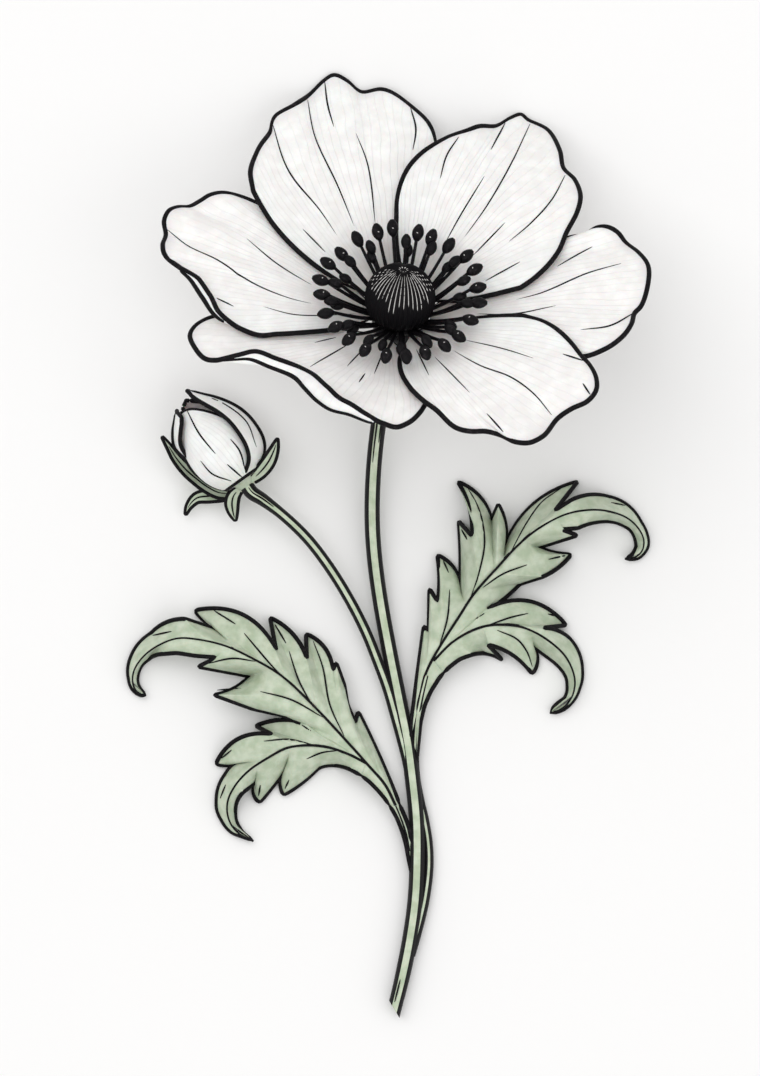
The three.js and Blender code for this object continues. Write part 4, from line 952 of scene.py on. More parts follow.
def ridged_stem(line, radius_at, stations, sides=64, cut=0.0, flank=22):
    """A stem along a line with blunt flanks darkened by painted shade. With q the angle in degrees from
    its top or its underside, whichever is nearer, a flank's painted shade begins where q passes the
    angle flank, is full 8 degrees on, fades a little from 80 degrees, and the flank stands a little
    prouder than the rest. A slanting cut at the line's end shifts each side along the stem by the cut
    times the cosine of its angle."""
    share = np.linspace(0, 1, stations)
    angle = 2 * np.pi * np.arange(sides) / sides
    q = np.degrees(np.arctan2(np.abs(np.cos(angle)), np.abs(np.sin(angle))))
    # ridge both raises a flank a little and, as the tone, darkens it with painted shade
    ridge = smooth((q - flank) / 8) - 0.3 * smooth((q - 80) / 8)
    fine = 0.012 * np.cos(22 * angle)
    radius = radius_at(share)[:, None] * (0.965 + 0.045 * ridge + fine)
    made = tube(line.at(share), radius, sides=sides, tone=np.broadcast_to(ridge, (stations, sides)))
    slant = cut * smooth((share - 0.975) / 0.025)[:, None] * np.cos(angle)
    shift = line.tangent(share)[:, None] * slant[..., None]
    made.points[: stations * sides] += shift.reshape(-1, 3)
    return made


def stem_scores(line, radius, scores):
    """Fine dark lines along a stem: each from one share of its length to another, at an angle from
    its top in degrees."""
    made = []
    for start, stop, degrees in scores:
        share = np.linspace(start, stop, 40)
        middle, tangent = line.at(share), line.tangent(share)
        across = unit(np.cross(tangent, UP))
        out = np.cross(across, tangent)
        turn = math.radians(degrees)
        path = middle + radius * (across * math.sin(turn) + out * math.cos(turn))
        made.append(tube(path, tapered(len(path), VEIN, 0.3), sides=VEIN_SIDES))
    return made


def make_stems():
    """The knob under the flower, whose upper part is dark, the stem, which thins a little at its cut
    end, and the bud's stalk, which swells below the bud, with the fine lines along them."""
    profile = [
        (0.4, -4.4), (1.5, -4.2), (2, -3.3), (3, -2.6), (3.9, -2.1), (KNOB_RADIUS, -1.4),
        (KNOB_RADIUS, 0.7), (4.2, KNOB_TOP),
    ]
    dark = [0, 0, 0, 0, 0, 1, 1, 1]
    knob = turned(profile, flower_to_plan, 72, lambda angle: 1 + 0.02 * np.cos(12 * angle), dark)

    def stem_radius(share):
        return STEM_RADIUS * mix(1, 0.93, smooth((share - 0.93) / 0.07))

    def stalk_radius(share):
        return STALK_RADIUS * (1 + 0.35 * smooth((share - 0.86) / 0.14))

    # the flanks of the stem and the bud's stalk carry painted shade
    main = ridged_stem(STEM_LINE, stem_radius, 420, cut=STEM_CUT)
    side = ridged_stem(STALK_LINE, stalk_radius, 200, 48, flank=16)
    add_piece("stem_and_bud_stalk", joined([knob, main, side]), STEM, "stem", "stem")
    scores = stem_scores(STEM_LINE, STEM_RADIUS, STEM_SCORES)
    scores += stem_scores(STALK_LINE, STALK_RADIUS * 1.22, STALK_SCORES)
    add_piece("stem_lines", joined(scores), EDGE, "dark_centre")


# ------------------------------------------------------------------ bud
def bud_to_plan(points):
    """From the bud's own frame, left, up and along its axis, to the plan."""
    x, y, z = np.moveaxis(np.asarray(points, float), -1, 0)
    return BUD_FOOT + x[..., None] * BUD_LEFT + y[..., None] * BUD_UP + z[..., None] * BUD_AXIS


def bud_radius(w):
    """An egg: a half ellipse towards the foot, and a sharper one towards the tip."""
    below = w < BUD_BELLY
    away = (w - BUD_BELLY) / np.where(below, BUD_HEEL, BUD_LENGTH - BUD_BELLY)
    return BUD_RADIUS * np.maximum(0, 1 - away * away) ** np.where(below, 0.5, 0.8)


def round_bud(radius, angle, w):
    """The point at a radius, at an angle counted from the bud's left, a distance w from its foot."""
    return bud_to_plan(np.stack([radius * np.cos(angle), radius * np.sin(angle), w], -1))


def wrapped_petal(facing, half_width, start, stop, radius_at, twist=0.0, blunt=0.6):
    """A petal round the bud: u runs from foot to tip and v round the bud, over an angle of the
    petal's half width divided by the radius there to either side of the way that it faces. The
    way it faces is turned by the twist times the fourth power of u, and the smaller the power
    blunt, the squarer its tip."""

    def surface(u, v):
        u, v = paired(u, v)
        w = mix(start, stop, u)
        radius = radius_at(w)
        width = half_width * np.sin(np.pi * (0.14 + 0.86 * u**0.9)).clip(0) ** blunt + 0.12
        middle = np.radians(90 + facing + twist * u**4)
        angle = middle + np.minimum(math.pi * 0.9, width / np.maximum(radius, 1)) * (1 - 2 * v)
        return round_bud(np.maximum(radius, 0.35), angle, w)

    return surface


def bud_profile(*points):
    """One side of the bud, given as (distance from the foot, radius)."""
    return Curve([(w, radius, 0) for w, radius in points])


HOOD = bud_profile(
    (0.5, 2.6), (1.1, 4.3), (2.2, 5.9), (4, 6.8), (7, 7.05), (9.3, 6.7), (11.5, 5.8), (13.7, 4.4),
    (15.5, 3), (17.5, 1.5),
)
SIDE = bud_profile(
    (0.5, 1.8), (1.4, 2.8), (3.2, 4), (5.5, 4.75), (7.6, 5.2), (9.3, 5.8), (11.1, 5.95), (13.2, 4.8),
    (14.6, 3.6), (15.8, 2.5),
)
LEFT_EDGE = bud_profile(
    (0.2, 1.5), (1.2, 3.1), (2.4, 4.3), (4, 5.2), (6, 5.75), (8, 5.7), (9.6, 5.25), (11.2, 4.6),
    (12.2, 4.05), (13.4, 3.2), (14.3, 2.3), (14.85, 1.5),
)


def hood_width(u):
    """Half the hood's width: a sine of its length, rounded off at the foot and pointed at the tip."""
    return 4.3 * np.sin(np.pi * (0.13 + 0.87 * u**0.85)).clip(0) ** 0.7 + 0.15


def side_width(u):
    """Half the side petal's width, by a table: hidden at its foot, and widest near its tip."""
    shares = (0, 0.4, 0.46, 0.52, 0.59, 0.66, 0.73, 0.8, 0.87, 0.94, 1)
    return np.interp(u, shares, (0.3, 0.3, 0.5, 1.15, 2, 2.85, 3.4, 3.5, 3, 1.7, 0.15))


def standing_petal(profile, facing, half_width):
    """A petal that stands off the bud: as a wrapped petal, but its radius follows a profile, and its
    half width is a function of u."""

    def surface(u, v):
        u, v = paired(u, v)
        place = profile.pick(u)
        w, radius = place[..., 0], place[..., 1] - KEEL_STAND
        angle = math.radians(90 + facing) + half_width(u) / np.maximum(radius, 2) * (1 - 2 * v)
        return round_bud(radius, angle, w)

    return surface


def bud_keel(profile, side):
    """The dark line down the outermost part of a petal, on the bud's left (1) or right (-1), where
    the petal turns away from view. It stands proud of the blade, and meets it at the tip."""
    along = np.linspace(0, 1, 80)
    place = profile.pick(along * 0.985)
    radius = place[:, 1] - KEEL_STAND * smooth((along - 0.75) / 0.25)
    line = bud_to_plan(np.stack([side * radius, 0 * radius + KEEL_HEIGHT, place[:, 0]], -1))
    ends = smooth(0.4 + 20 * along) * smooth(0.5 + 10 * (1 - along))
    return tube(line, KEEL_BEAD * ends, sides=BEAD_SIDES)


def edge_round(surface, radius, foot=0.0):
    """The bead along one side of a blade, round its tip and back along the other."""
    side = np.linspace(foot, 1, 70)
    tip = np.linspace(0, 1, 14)[1:-1]
    u = np.concatenate([side, np.ones(len(tip)), side[::-1]])
    v = np.concatenate([np.zeros(len(side)), tip, np.ones(len(side))])
    normal = on_faces(surface, u.clip(0.01, 0.99), v.clip(0.01, 0.99), UP)[1]
    return tube(surface(u, v), radius, normal, sides=BEAD_SIDES)


def blade_of(surface, skin, rows=60, columns=30):
    u, v = np.meshgrid(np.linspace(0, 1, rows), np.linspace(0, 1, columns), indexing="ij")
    return slab(surface(u, v), skin)


BUD_VEINS = [
    [(-35.4, -15.1), (-33.4, -18.9), (-30.7, -22.3)],
    [(-28.3, -19.9), (-26.8, -21.9), (-25.9, -25.0)],
    [(-33.1, -23.4), (-31.2, -25.5), (-28.1, -26.7)],
    [(-28.8, -24.0), (-26.4, -26.1)],
]
HOOD_VEINS = [[(-33.5, -12.4), (-28.9, -14.5), (-25.7, -17.2), (-24.1, -21.2)]]

# The bracts round the bud's foot, in the bud's frame: the way the upper face of each looks, and its
# middle line.
BRACTS = [
    ((-0.4, 0.92, 0), [
        (0.6, -0.6, -0.8), (2.6, -1.7, -0.7), (4.5, -2.6, 0.6), (5.65, -2.7, 2.8), (6.3, -2.5, 4.9),
        (6.8, -2, 7), (7, -1.1, 9.6), (6.85, 0, 11.7), (6.74, 1.2, 13.6),
    ]),
    ((0.2, 1, -0.2), [
        (-0.9, 0.3, -0.8), (-3, 0.9, -0.6), (-5.2, 1.6, 0), (-7.1, 2.4, 1), (-8.67, 3.4, 2.14),
    ]),
    ((0, 1, 0.1), [
        (1, -0.8, -0.8), (3.6, -2.7, -0.2), (6, -3.7, 1.1), (8, -4.2, 2.1), (9.8, -4.6, 1.8),
        (11.06, -4.9, 1.05),
    ]),
    ((0.3, 1, -0.3), [
        (1, -0.2, -0.7), (2.6, -0.6, -1.1), (3.5, -1.2, -1.8), (4.2, -2.2, -2.9), (4.9, -3.6, -4.6),
    ]),
]


def bract_surface(facing, line):
    """A small blade along a middle line, as wide as a sine of the share of the way, and cupped."""
    middle = Curve(line)
    up = unit(np.array(facing, float))

    def surface(u, v):
        u, v = paired(u, v)
        across = unit(np.cross(middle.tangent(u), up))
        width = BRACT_HALF_WIDTH * np.sin(np.pi * (0.16 + 0.82 * u)).clip(0) ** 0.8
        aside = width * (1 - 2 * v)
        cupped = 0.35 * width * (1 - 2 * v) ** 2
        return bud_to_plan(middle.at(u) + across * aside[..., None] + up * cupped[..., None])

    return surface


def make_bud():
    rings = [(bud_radius(w) - 0.3, w) for w in np.linspace(1.2, 13.8, 30)]
    core = turned([(0.3, 0.9), *rings, (0.3, 14.3)], bud_to_plan, 40)
    surfaces = {
        "under": wrapped_petal(172, 7.2, 0.5, 16.3, lambda w: bud_radius(w * 0.945)),
        "side": standing_petal(SIDE, -88, side_width),
        "front": wrapped_petal(-12, 6.5, 0.1, 14.9, lambda w: bud_radius(w * 0.98) + 0.45, -45, 0.5),
    }
    hood = standing_petal(HOOD, 74, hood_width)
    for name, surface in surfaces.items():
        shapes = [blade_of(surface, BUD_SKIN)]
        if name == "under":
            shapes.append(core)
        add_piece(f"bud_petal_{name}", joined(shapes), BUD_PETAL, "bud_petal", "bud_petals")
    add_piece("bud_petal_outer", blade_of(hood, BUD_SKIN, 80), BUD_PETAL, "petal", "bud_outer_petal")
    edges = [edge_round(surface, BUD_BEAD) for surface in (*surfaces.values(), hood)]
    edges += [bud_keel(HOOD, -1), bud_keel(SIDE, 1), bud_keel(LEFT_EDGE, 1)]
    across = np.linspace(0.02, 0.98, 40)
    edges.append(tube(surfaces["front"](0.02, across), 1.3 * BUD_BEAD, BUD_AXIS, sides=BEAD_SIDES))
    for surface, lines in ((surfaces["front"], BUD_VEINS), (hood, HOOD_VEINS)):
        edges += veins_on(surface, lines, BUD_SKIN, lambda v: 0.99 + 0 * v, both_faces=False)
    add_piece("bud_edges", joined(edges), EDGE, "dark_centre")

    profile = [(0.5, -1.8), (1.0, -1.6), (1.3, -1.1), (1.6, -0.6), (1.9, -0.1), (2.0, 0.4), (1.7, 0.6)]
    cup = turned(profile, bud_to_plan, 36)
    bracts = [bract_surface(*bract) for bract in BRACTS]
    blades = [blade_of(surface, BRACT_SKIN, 40, 14) for surface in bracts]
    add_piece("bracts", joined([cup, *blades]), LEAF, "leaf", "bud_bracts")
    lines = [edge_round(surface, BRACT_BEAD, 0.06) for surface in bracts]
    share = np.linspace(0.15, 0.9, 30)
    for surface in bracts:
        middle, normal = on_faces(surface, share, 0.5, UP)
        path = middle + BRACT_SKIN / 2 * normal
        lines.append(tube(path, tapered(len(path), VEIN), normal, sides=VEIN_SIDES))
    add_piece("bract_edges", joined(lines), EDGE, "dark_centre")


# ------------------------------------------------------------------ leaves
# A lobe is a midrib and a list of strips of blade on its two sides. A strip's outline goes from its base
# towards the lobe's tip as (x, y, rib, bulge, z): rib is the distance along the midrib at which the
# vein to that point leaves it, bulge is how far the edge coming to that point bows away from the
# midrib, and z replaces the height that the midrib's slope gives. The number before a strip's
# outline says at which of its points the leaf's own edge begins.
TIP = 99  # past the end of any midrib
LEFT_LOBES = [
    ([
        (1.5, -88.6, 1.4), (1.2, -86.5, 1.5), (0.5, -84, 1.8), (-0.2, -82.2, 2.1), (-0.75, -80.9, 2.4),
    ], [
        (0, [
            (1.9, -87, 0, 0, 1.5), (1.6, -85, 3.6, 0, 1.7), (1, -83.3, 5.4, 0, 2),
            (0.4, -81.9, 7, 0, 2.2), (-0.1, -80.7, 8.2, 0, 2.4),
        ]),
        (0, [
            (2, -92.6, 0, 0, 1.3), (1.4, -89.8, 0.1, 0, 1.3), (1, -87.5, 1, 0, 1.3),
            (0.4, -85.4, 3.2, 0, 1.5), (-0.4, -83.3, 5.4, 0, 1.8), (-1.2, -81.8, 7.2, 0, 2),
            (-1.8, -80.9, 8.2, 0, 2.2),
        ]),
    ]),
    ([
        (-0.75, -80.9, 2.4), (-2.5, -77.5, 3.1), (-5.6, -73.9, 4), (-10.1, -68.9, 5.2),
        (-14.9, -63.8, 6.2), (-19.6, -59.4, 6.9), (-24.4, -56.5, 7.2), (-29.2, -54.3, 7),
        (-34, -53.2, 6.4), (-37.2, -53.1, 5.6), (-40.4, -54.3, 4.5), (-42.9, -56.2, 3.3),
        (-44.4, -58.5, 2.3), (-44.6, -60.5, 1.6), (-43.9, -62, 1.1), (-42.4, -62.7, 0.7),
    ], [
        (0, [
            (-0.1, -80.7, 0), (-7, -65.3, 4.5, 0.2), (-7.5, -67.2, 5.7), (-8.8, -64.1, 8),
            (-9.3, -60.9, 11), (-10.7, -57, 13.2), (-11.2, -58.6, 14.4), (-15.7, -52.3, 17, 1.2),
            (-15.5, -56.5, 21), (-21.7, -49.6, 24, 1), (-20.6, -55.1, 28.5), (-34.3, -48.4, 31.5, 2.9),
            (-30.2, -51.8, 38.5, 0.3), (-35.9, -49.8, 43.3), (-41.6, -52.3, 49.8, 0.7),
            (-45.2, -57.1, 55.6, 0.6), (-45.2, -60, 58.6, 0.2), (-43.6, -62.5, 60.4, 0.4),
            (-42.4, -62.7, TIP),
        ]),
        (0, [
            (-1.8, -80.9, 0, 0, 2.2), (-2.6, -79.7, 1.2, 0, 2.4), (-3.9, -78.2, 3.6, 0, 2.7),
            (-5.2, -76.9, 6.6, 0, 3), (-6.5, -75.95, 9.2, 0, 3.3),
        ]),
        (1, [
            (-5.7, -73.8, 8.4), (-16.4, -67.5, 11, 0, 4.6), (-17.4, -66.9, 13.5), (-19.6, -65.9, 16),
            (-24.7, -64.8, 20.5), (-31.1, -62.5, 24.5), (-25.1, -59.4, 31.5, -0.6), (-33.7, -57.8, 35.5),
            (-30.5, -56.2, 40), (-34, -56, 44), (-37.2, -55.5, 47.4), (-39.7, -55.7, 49.6),
            (-42, -56.6, 52.6, -0.2), (-43.5, -58.2, 55.6, -0.2), (-43.9, -60, 58.2, -0.1),
            (-43.5, -61.4, 60.2, -0.1), (-42.4, -62.7, TIP),
        ]),
    ]),
    ([
        (-5.6, -73.9, 4), (-8.5, -72.4, 4.6), (-11.7, -71.3, 5), (-15.2, -70.9, 5.3), (-18.7, -71.3, 5.4),
        (-22.2, -73.1, 5.2), (-25.4, -75.3, 4.8), (-27.6, -77.8, 4.1), (-28.7, -80.1, 3.4),
        (-28.8, -82.3, 2.6), (-28.1, -84.3, 1.9), (-26.7, -85.8, 1.2), (-24.5, -86.8, 0.7),
    ], [
        (1, [
            (-5.2, -73.4, 0), (-16.1, -67.1, 4.5, 0, 4.7), (-24.1, -67.7, 8.5, 0.7), (-21.3, -69.1, 12.5),
            (-30.8, -74.1, 15, 2), (-26.3, -73.5, 19.6, 0.4), (-29.2, -75.9, 24, 0.4),
            (-30.6, -80.2, 28.4, 0.4), (-29.8, -83.3, 31.2, 0.3), (-27.9, -85.6, 33.6, 0.2),
            (-24.5, -86.8, TIP),
        ]),
        (0, [
            (-6.4, -76, 0, 0, 3.3), (-8.2, -75, 1.8, 0, 3.6), (-10.7, -74.3, 4.5, -0.1),
            (-13.6, -74.7, 7, -0.2), (-19.5, -79.3, 10.5, 0.3), (-18.8, -74.5, 13.5, 0.8),
            (-23.5, -80.6, 16, 0.1), (-23.9, -76.9, 20, 0.8), (-26.2, -78.8, 24),
            (-27.5, -82.2, 29, -0.4), (-27, -84.4, 32, -0.2), (-24.5, -86.8, TIP, -0.3),
        ]),
    ]),
]
RIGHT_LOBES = [
    ([
        (2.95, -64.8, 2.1), (4.2, -59.2, 2.8), (6.1, -55.4, 3.5), (9.5, -50, 4.6), (12.3, -45.7, 5.6),
        (16.1, -41.4, 6.4), (19.5, -37.7, 7), (23, -34.8, 7.2), (27.3, -32.5, 7), (31, -31.7, 6.4),
        (34.4, -31.8, 5.6), (37.9, -33, 4.3), (39.9, -34.9, 3.2), (40.7, -36.8, 2.3), (40.4, -38.5, 1.6),
        (39.3, -39.5, 1.1), (37.6, -39.9, 0.7),
    ], [
        (0, [
            (1.75, -70, 0, 0, 1.7), (2, -66, 0.1, 0, 1.9), (2.8, -59.7, 2.4), (4, -50.9, 4.8),
            (4.8, -51.9, 6), (4.9, -44.7, 9.5), (6.3, -47, 11.2), (6.2, -39.1, 14, -0.3),
            (10, -44.9, 19.4, 1.1), (9.8, -33.5, 21.4, -0.2), (12, -36, 23.6), (9.6, -26.9, 26.4, -0.8),
            (15.3, -33.3, 27, 1.1), (16.4, -30.7, 27.4), (17.3, -38.2, 29.8, 0.8),
            (29.7, -26.9, 32.6, 2.2), (25.8, -31.8, 39.6), (28.7, -29.9, 43.4), (35, -29.5, 49.6, 0.6),
            (40.2, -33.7, 55.8, 0.8), (41.4, -36.6, 58, 0.2), (41, -38.5, 59.8, 0.2),
            (39.6, -39.8, 61.2, 0.1), (37.6, -39.9, TIP),
        ]),
        (0, [
            (2.75, -73.6, 0, 0, 1.3), (3.05, -70.6, 0.05, 0, 1.5), (3.4, -67.2, 0.1, 0, 1.7),
            (4.1, -64.3, 0.8, 0, 2), (5.15, -61.9, 3.6, 0, 2.2), (6.6, -59.6, 7, 0, 2.4),
            (7.4, -58.7, 9, 0, 2.5),
        ]),
        (1, [
            (5.7, -56.6, 8.4), (14.4, -48.7, 15, 0, 4.2), (20, -44, 22.5, 0.2), (23.8, -42.8, 26.5),
            (28.6, -39.1, 31, 0.4), (23.1, -37.9, 34, -0.3), (29.6, -35.9, 38.2), (26.8, -34.9, 41.5),
            (29.6, -34.7, 44.5), (34.7, -33.5, 49.4, -0.3), (37.5, -34.3, 52.6, -0.2),
            (39.2, -36.1, 56, -0.3), (39.5, -37.9, 59, -0.1), (38.8, -39.1, 61), (37.6, -39.9, TIP),
        ]),
    ]),
    ([
        (5.6, -56.8, 3.2), (8.6, -53.8, 3.8), (11.5, -52, 4.4), (14.4, -51, 4.9), (17.2, -50.8, 5.2),
        (20.7, -51.3, 5.2), (24.4, -53.2, 4.8), (27.6, -56.1, 4), (29.1, -59.5, 3), (29, -62, 2.3),
        (28.1, -63.8, 1.6), (26.7, -65, 1.1), (25.1, -65.5, 0.7),
    ], [
        (1, [
            (5.4, -56.2, 0), (14.1, -48.3, 6.5, 0, 4.3), (27.8, -50.9, 12.5, 2.8), (23.9, -51.3, 19),
            (28.1, -52.9, 23.6, 0.4), (30.4, -58.4, 28.8, 0.6), (29.9, -61.5, 32, 0.2),
            (28.4, -64.1, 34.3, 0.2), (25.1, -65.5, TIP, 0.4),
        ]),
        (0, [
            (7.3, -58.8, 0, 0, 2.5), (8.3, -57.8, 1.4, 0, 2.8), (10, -56.5, 3.2), (12, -55.8, 4.9),
            (14.3, -55.6, 6.6, -0.1), (17.1, -56.7, 8.5, -0.2), (14.6, -54.1, 10.5),
            (22.1, -59.1, 14, -0.9), (22, -54.2, 19, 0.9), (25.6, -56.9, 24, 0),
            (27.4, -58.8, 27.3, -0.1), (28, -61, 30.2, -0.2), (27.5, -63.2, 33, -0.2),
            (25.1, -65.5, TIP, -0.3),
        ]),
    ]),
]
LEAVES = {
    "leaf_left": {
        "petiole": [
            (2.3, -93.5, 1.3), (2, -91.2, 1.3), (1.6, -88, 1.4), (0.9, -85, 1.6), (-0.3, -82, 2),
            (-1.8, -79, 2.6),
        ],
        "petiole_radii": (0.6, 0.3),
        "lobes": LEFT_LOBES,
        "veins": [
            [(-14.5, -53.5), (-12.9, -57.8), (-11.7, -64.1), (-9.3, -69.4)],
            [(-18.5, -55.2), (-16.9, -60.0), (-14.5, -64.5)],
            [(-26.0, -52.2), (-21.2, -57.8), (-19.6, -59.4)], [(-31.1, -48.4), (-27.4, -50.7)],
            [(-20.9, -50.7), (-19.0, -53.9)], [(-32.2, -57.3), (-27.9, -56.4), (-24.1, -56.9)],
            [(-30.5, -61.7), (-26.5, -61.4)], [(-23.3, -61.9), (-18.1, -63.3), (-12.9, -66.2)],
            [(-22.7, -70.2), (-18.7, -69.9), (-14.5, -70.8)],
            [(-15.6, -73.2), (-12.9, -72.1), (-10.4, -71.8)], [(-29.8, -73.1), (-28.1, -71.7)],
            [(-29.1, -77.5), (-30.0, -79.8)], [(-23.3, -77.6), (-23.6, -79.4)],
            [(-18.5, -76.7), (-19.2, -78.2)], [(-38.1, -51.9), (-41.3, -52.6)],
            [(-16.4, -67.5), (-15.3, -68.2), (-14.1, -68.8)],
        ],
    },
    "leaf_right": {
        "petiole": [
            (1.7, -106, 1.3), (2.5, -103.3, 1.15), (3.4, -100, 1), (4.15, -96.7, 0.9), (4.8, -91.7, 0.85),
            (4.75, -87.5, 0.85), (4.1, -83.3, 0.9), (3.35, -80, 1), (2.75, -76.7, 1.1),
            (2.55, -74.2, 1.2), (2.55, -71.3, 1.4), (2.7, -68.3, 1.7), (2.95, -65.8, 2),
            (3.6, -62.5, 2.4), (4.4, -59.2, 2.8),
        ],
        "petiole_radii": (0.86, 0.6),
        "lobes": RIGHT_LOBES,
        "veins": [
            [(11.5, -47.1), (13.2, -42.0), (14.1, -37.1), (13.5, -32.5), (12.3, -29.6), (11.2, -27.9)],
            [(18.4, -38.8), (21.2, -33.7), (23.8, -30.2), (27.3, -27.8)],
            [(6.6, -54.3), (7.9, -49.7), (8.3, -44.9)], [(13.8, -44.6), (17.2, -42.3), (21.2, -40.8)],
            [(10.2, -34.8), (11.2, -36.6)], [(7.2, -40.0), (8.1, -42.1)], [(28.3, -39.1), (24.8, -39.9)],
            [(24.7, -49.0), (27.1, -49.6)], [(21.4, -48.9), (18.4, -49.6), (14.4, -51.0)],
            [(16.2, -51.7), (19.5, -53.2), (21.2, -55.3), (22.1, -57.8)], [(35.2, -30.4), (37.6, -30.9)],
            [(14.4, -48.7), (12.6, -49.9)],
        ],
    },
}
OUTLINE_STEP = 0.4
RELIEF_WINDOW = 17  # outline steps to either side over which a blade's usual width is taken
STRIP_COLUMNS = 10  # of points, from midrib to edge
LEAST_WIDTH = 0.12  # of a strip, where its outline meets the midrib
BEAD_LIFT = 0.08  # of an edge's line above the upper face
VEIN_LIFT = 0.09
VEIN_STATIONS = 26


def leaf_outline(corners, rib, edge_from):
    """The outline of a strip in fine steps: its points, the midrib distance that each belongs to,
    and whether each is on the leaf's own edge."""
    points, reaches, outer = [], [], []
    for i, (x, y, reach, *more) in enumerate(corners):
        bulge, z = (*more, 0, None)[:2] if more else (0, None)
        root = rib.at_distance(reach)
        if z is None:
            z = root[2] - EDGE_DROOP * math.hypot(root[0] - x, root[1] - y)
        here = np.array([x, y, z])
        if i == 0:
            points, reaches, outer = [here[None]], [np.array([reach])], [np.array([edge_from == 0])]
            before, reach_before = here, reach
            continue
        chord = here - before
        away = unit(np.array([-chord[1], chord[0], 0]))
        inner = rib.at_distance((reach_before + reach) / 2)
        if away @ ((before + here) / 2 - inner) < 0:
            away = -away
        t = np.linspace(0, 1, max(2, round(np.linalg.norm(chord) / OUTLINE_STEP)) + 1)[1:, None]
        points.append(before + chord * t + away * bulge * 4 * t * (1 - t))
        reaches.append(mix(reach_before, reach, t[:, 0]))
        outer.append(np.full(len(t), i > edge_from))
        before, reach_before = here, reach
    return np.concatenate(points), np.concatenate(reaches), np.concatenate(outer)


def leaf_strip(corners, rib, edge_from):
    """One side of a lobe: rows from the midrib to the outline, sunk along the midrib and swollen
    between it and the edge, less where a tooth makes the row longer than its neighbours. Returns
    the upper face, the closed blade and the line of the leaf's own edge."""
    points, reaches, outer = leaf_outline(corners, rib, edge_from)
    on_rib = rib.at_distance(reaches)
    out = (points - on_rib) * (1, 1, 0)
    width = np.linalg.norm(out, axis=1)
    padded = np.pad(width, RELIEF_WINDOW, "edge")
    span = 2 * RELIEF_WINDOW + 1
    usual = np.convolve(padded, np.ones(span) / span, "valid")
    relief = np.clip(2 - width / np.maximum(usual, 0.1), 0.35, 1.5)
    steady = np.where((width > 0.3)[:, None], unit(out), unit(out[np.argmax(width)]))
    ends = np.where((width > LEAST_WIDTH)[:, None], points, on_rib + LEAST_WIDTH * steady)
    t = np.linspace(0, 1, STRIP_COLUMNS)
    face = mix(on_rib[:, None], ends[:, None], t[None, :, None])
    face[..., 2] += LEAF_LIFT + (LEAF_SWELL * width * relief)[:, None] * 4 * t * (1 - t)
    skin = np.broadcast_to(mix(LEAF_THICK, LEAF_THIN, t), face.shape[:2])
    blade = slab(face - UP * (skin / 2)[..., None], skin, np.broadcast_to(UP, face.shape))
    edge = (ends + UP * (LEAF_LIFT + BEAD_LIFT))[outer]
    return face, blade, edge


def softened(path):
    """A line whose corners are rounded: twice, each point moves half way to its neighbours' middle."""
    for _ in range(2):
        path = np.vstack([path[:1], (path[:-2] + 2 * path[1:-1] + path[2:]) / 4, path[-1:]])
    return path


def laid_on(face_points, seen):
    """Heights at places (x, y) on a blade given by points of its upper face: the mean of the six
    nearest, each weighted by one over its squared distance."""
    distance = np.hypot(*np.moveaxis(seen[:, None] - face_points[None, :, :2], -1, 0))
    near = np.argsort(distance, axis=1)[:, :6]
    weight = 1 / (np.take_along_axis(distance, near, axis=1) ** 2 + 1e-3)
    height = face_points[near, 2]
    return np.sum(weight * height, axis=1) / np.sum(weight, axis=1)


def make_leaf(name, leaf):
    """A leaf's blades, with their outlines, midribs and veins as dark lines on both faces, and its
    stalk."""
    blades, faces, lines = [], [], []
    for midrib, strips in leaf["lobes"]:
        rib = Curve(midrib)
        for edge_from, corners in strips:
            face, blade, edge = leaf_strip(corners, rib, edge_from)
            blades.append(blade)
            faces.append(face.reshape(-1, 3))
            path = softened(edge)
            from_start = np.arange(len(path))
            from_end = np.minimum(from_start, from_start[::-1])
            lines.append(tube(path, LEAF_BEAD * mix(0.5, 1, smooth(from_end / 2)), sides=BEAD_SIDES))
        share = np.linspace(0, 0.985, 160)
        path = rib.at(share) + UP * LEAF_LIFT
        for drop, radii in ((0, RIB_BEADS), (LEAF_THICK, UNDER_RIBS)):
            lines.append(tube(path - UP * drop, mix(*radii, share), sides=8))
    faces = np.concatenate(faces)
    for vein in leaf["veins"]:
        seen = seen_line(vein, VEIN_STATIONS)
        seen[:, 2] = laid_on(faces, seen[:, :2]) + VEIN_LIFT
        for drop in (0, (LEAF_THICK + LEAF_THIN) / 2):
            lines.append(tube(seen - UP * drop, tapered(len(seen), VEIN), sides=VEIN_SIDES))
    radii = leaf["petiole_radii"]
    # the leaf stalk's flanks carry painted shade, as on the stem
    petiole = ridged_stem(Curve(leaf["petiole"]), lambda share: mix(*radii, share), 160, 40, flank=12)
    add_piece(f"{name}_blade", joined(blades), LEAF, "leaf", name)
    add_piece(f"{name}_stalk", petiole, STEM, "stem", name)
    add_piece(f"{name}_lines", joined(lines), EDGE, "dark_centre")


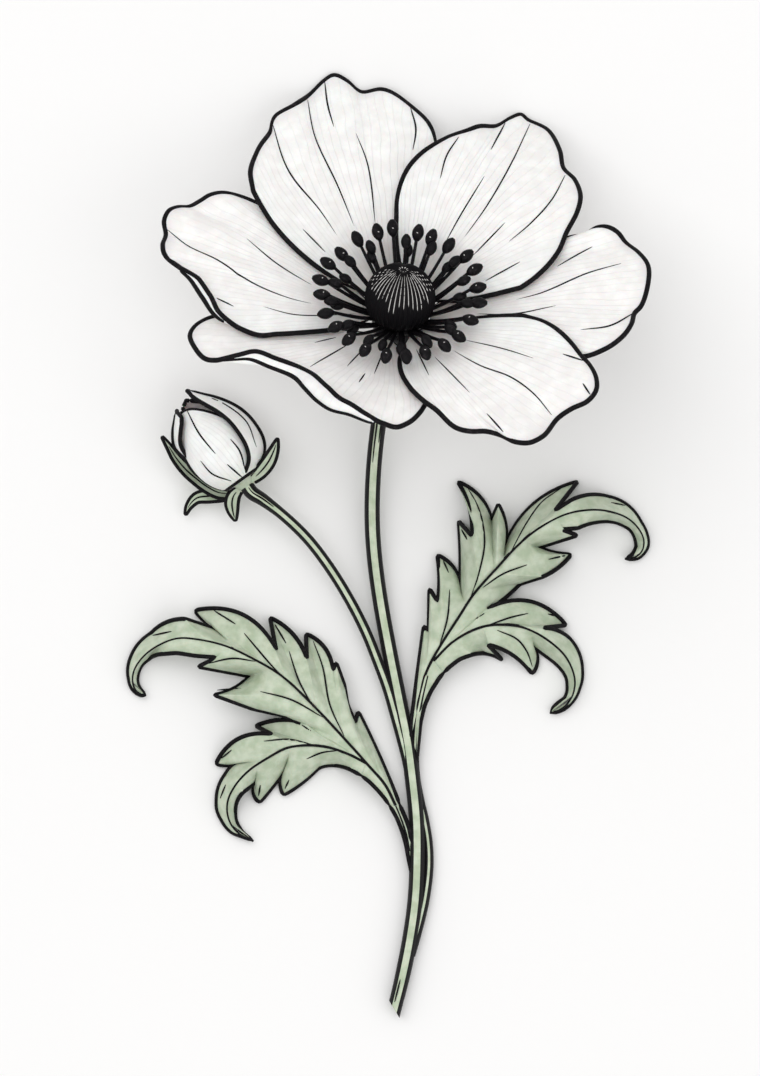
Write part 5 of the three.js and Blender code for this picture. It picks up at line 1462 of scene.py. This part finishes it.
# ------------------------------------------------------------------ table, light and camera
def make_table():
    """A plain pale table, wide enough to fill every view from above."""
    half = 1.5
    mesh = bpy.data.meshes.new("table")
    corners = [(-half, -half, 0), (half, -half, 0), (half, half, 0), (-half, half, 0)]
    mesh.from_pydata(corners, [], [(0, 1, 2, 3)])
    pale = colour(0.88, 0.875, 0.87)
    finish = Finish("pale_table", Base_Color=pale, Roughness=0.8, Specular_IOR_Level=0.2)
    mesh.materials.append(finish.material)
    table = bpy.data.objects.new("table", mesh)
    table.location.z = -0.00005  # just below the plant, so that no two faces lie in one plane
    bpy.context.scene.collection.objects.link(table)


def make_light(name, place, size, power):
    """A square soft light that looks from its place at the middle of the table."""
    lamp = bpy.data.lights.new(name, "AREA")
    lamp.size = size
    lamp.energy = power
    light = bpy.data.objects.new(name, lamp)
    light.location = place
    light.rotation_euler = (-Vector(place)).to_track_quat("-Z", "Y").to_euler()
    bpy.context.scene.collection.objects.link(light)


def make_camera():
    """Straight above the plant, far off with a long lens. The picture's frame is 760 by 1076 steps
    of a sixth of a millimetre, and its middle is 20 steps left of the flower's root and 218 below."""
    step = 1 / 6
    frame_height = 1076 * step
    middle = PLAN_TO_FRAME[:2] + np.array([-20, -218]) * step
    lens = bpy.data.cameras.new("camera")
    lens.sensor_width = 36
    lens.lens = 800
    lens.clip_end = 20
    usual_height = 8.0  # of what is drawn, above the table
    camera = bpy.data.objects.new("camera", lens)
    distance = frame_height * lens.lens / lens.sensor_width + usual_height
    camera.location = (middle[0] * MM, middle[1] * MM, distance * MM)
    bpy.context.scene.collection.objects.link(camera)
    bpy.context.scene.camera = camera


def make_studio():
    make_table()
    make_light("key", (-0.4, 0.4, 1.25), size=1.5, power=9.0)
    make_light("fill", (0.8, -0.5, 1.0), size=1.4, power=4.5)
    world = bpy.data.worlds.new("studio")
    world.use_nodes = True
    sky = world.node_tree.nodes["Background"]
    sky.inputs["Color"].default_value = colour(1, 1, 1)
    sky.inputs["Strength"].default_value = 0.68
    bpy.context.scene.world = world
    bpy.context.scene.view_settings.view_transform = "Standard"


make_camera()
make_studio()
make_petals()
make_dome()
make_stamens()
make_stems()
make_bud()
for leaf_name, leaf_shape in LEAVES.items():
    make_leaf(leaf_name, leaf_shape)
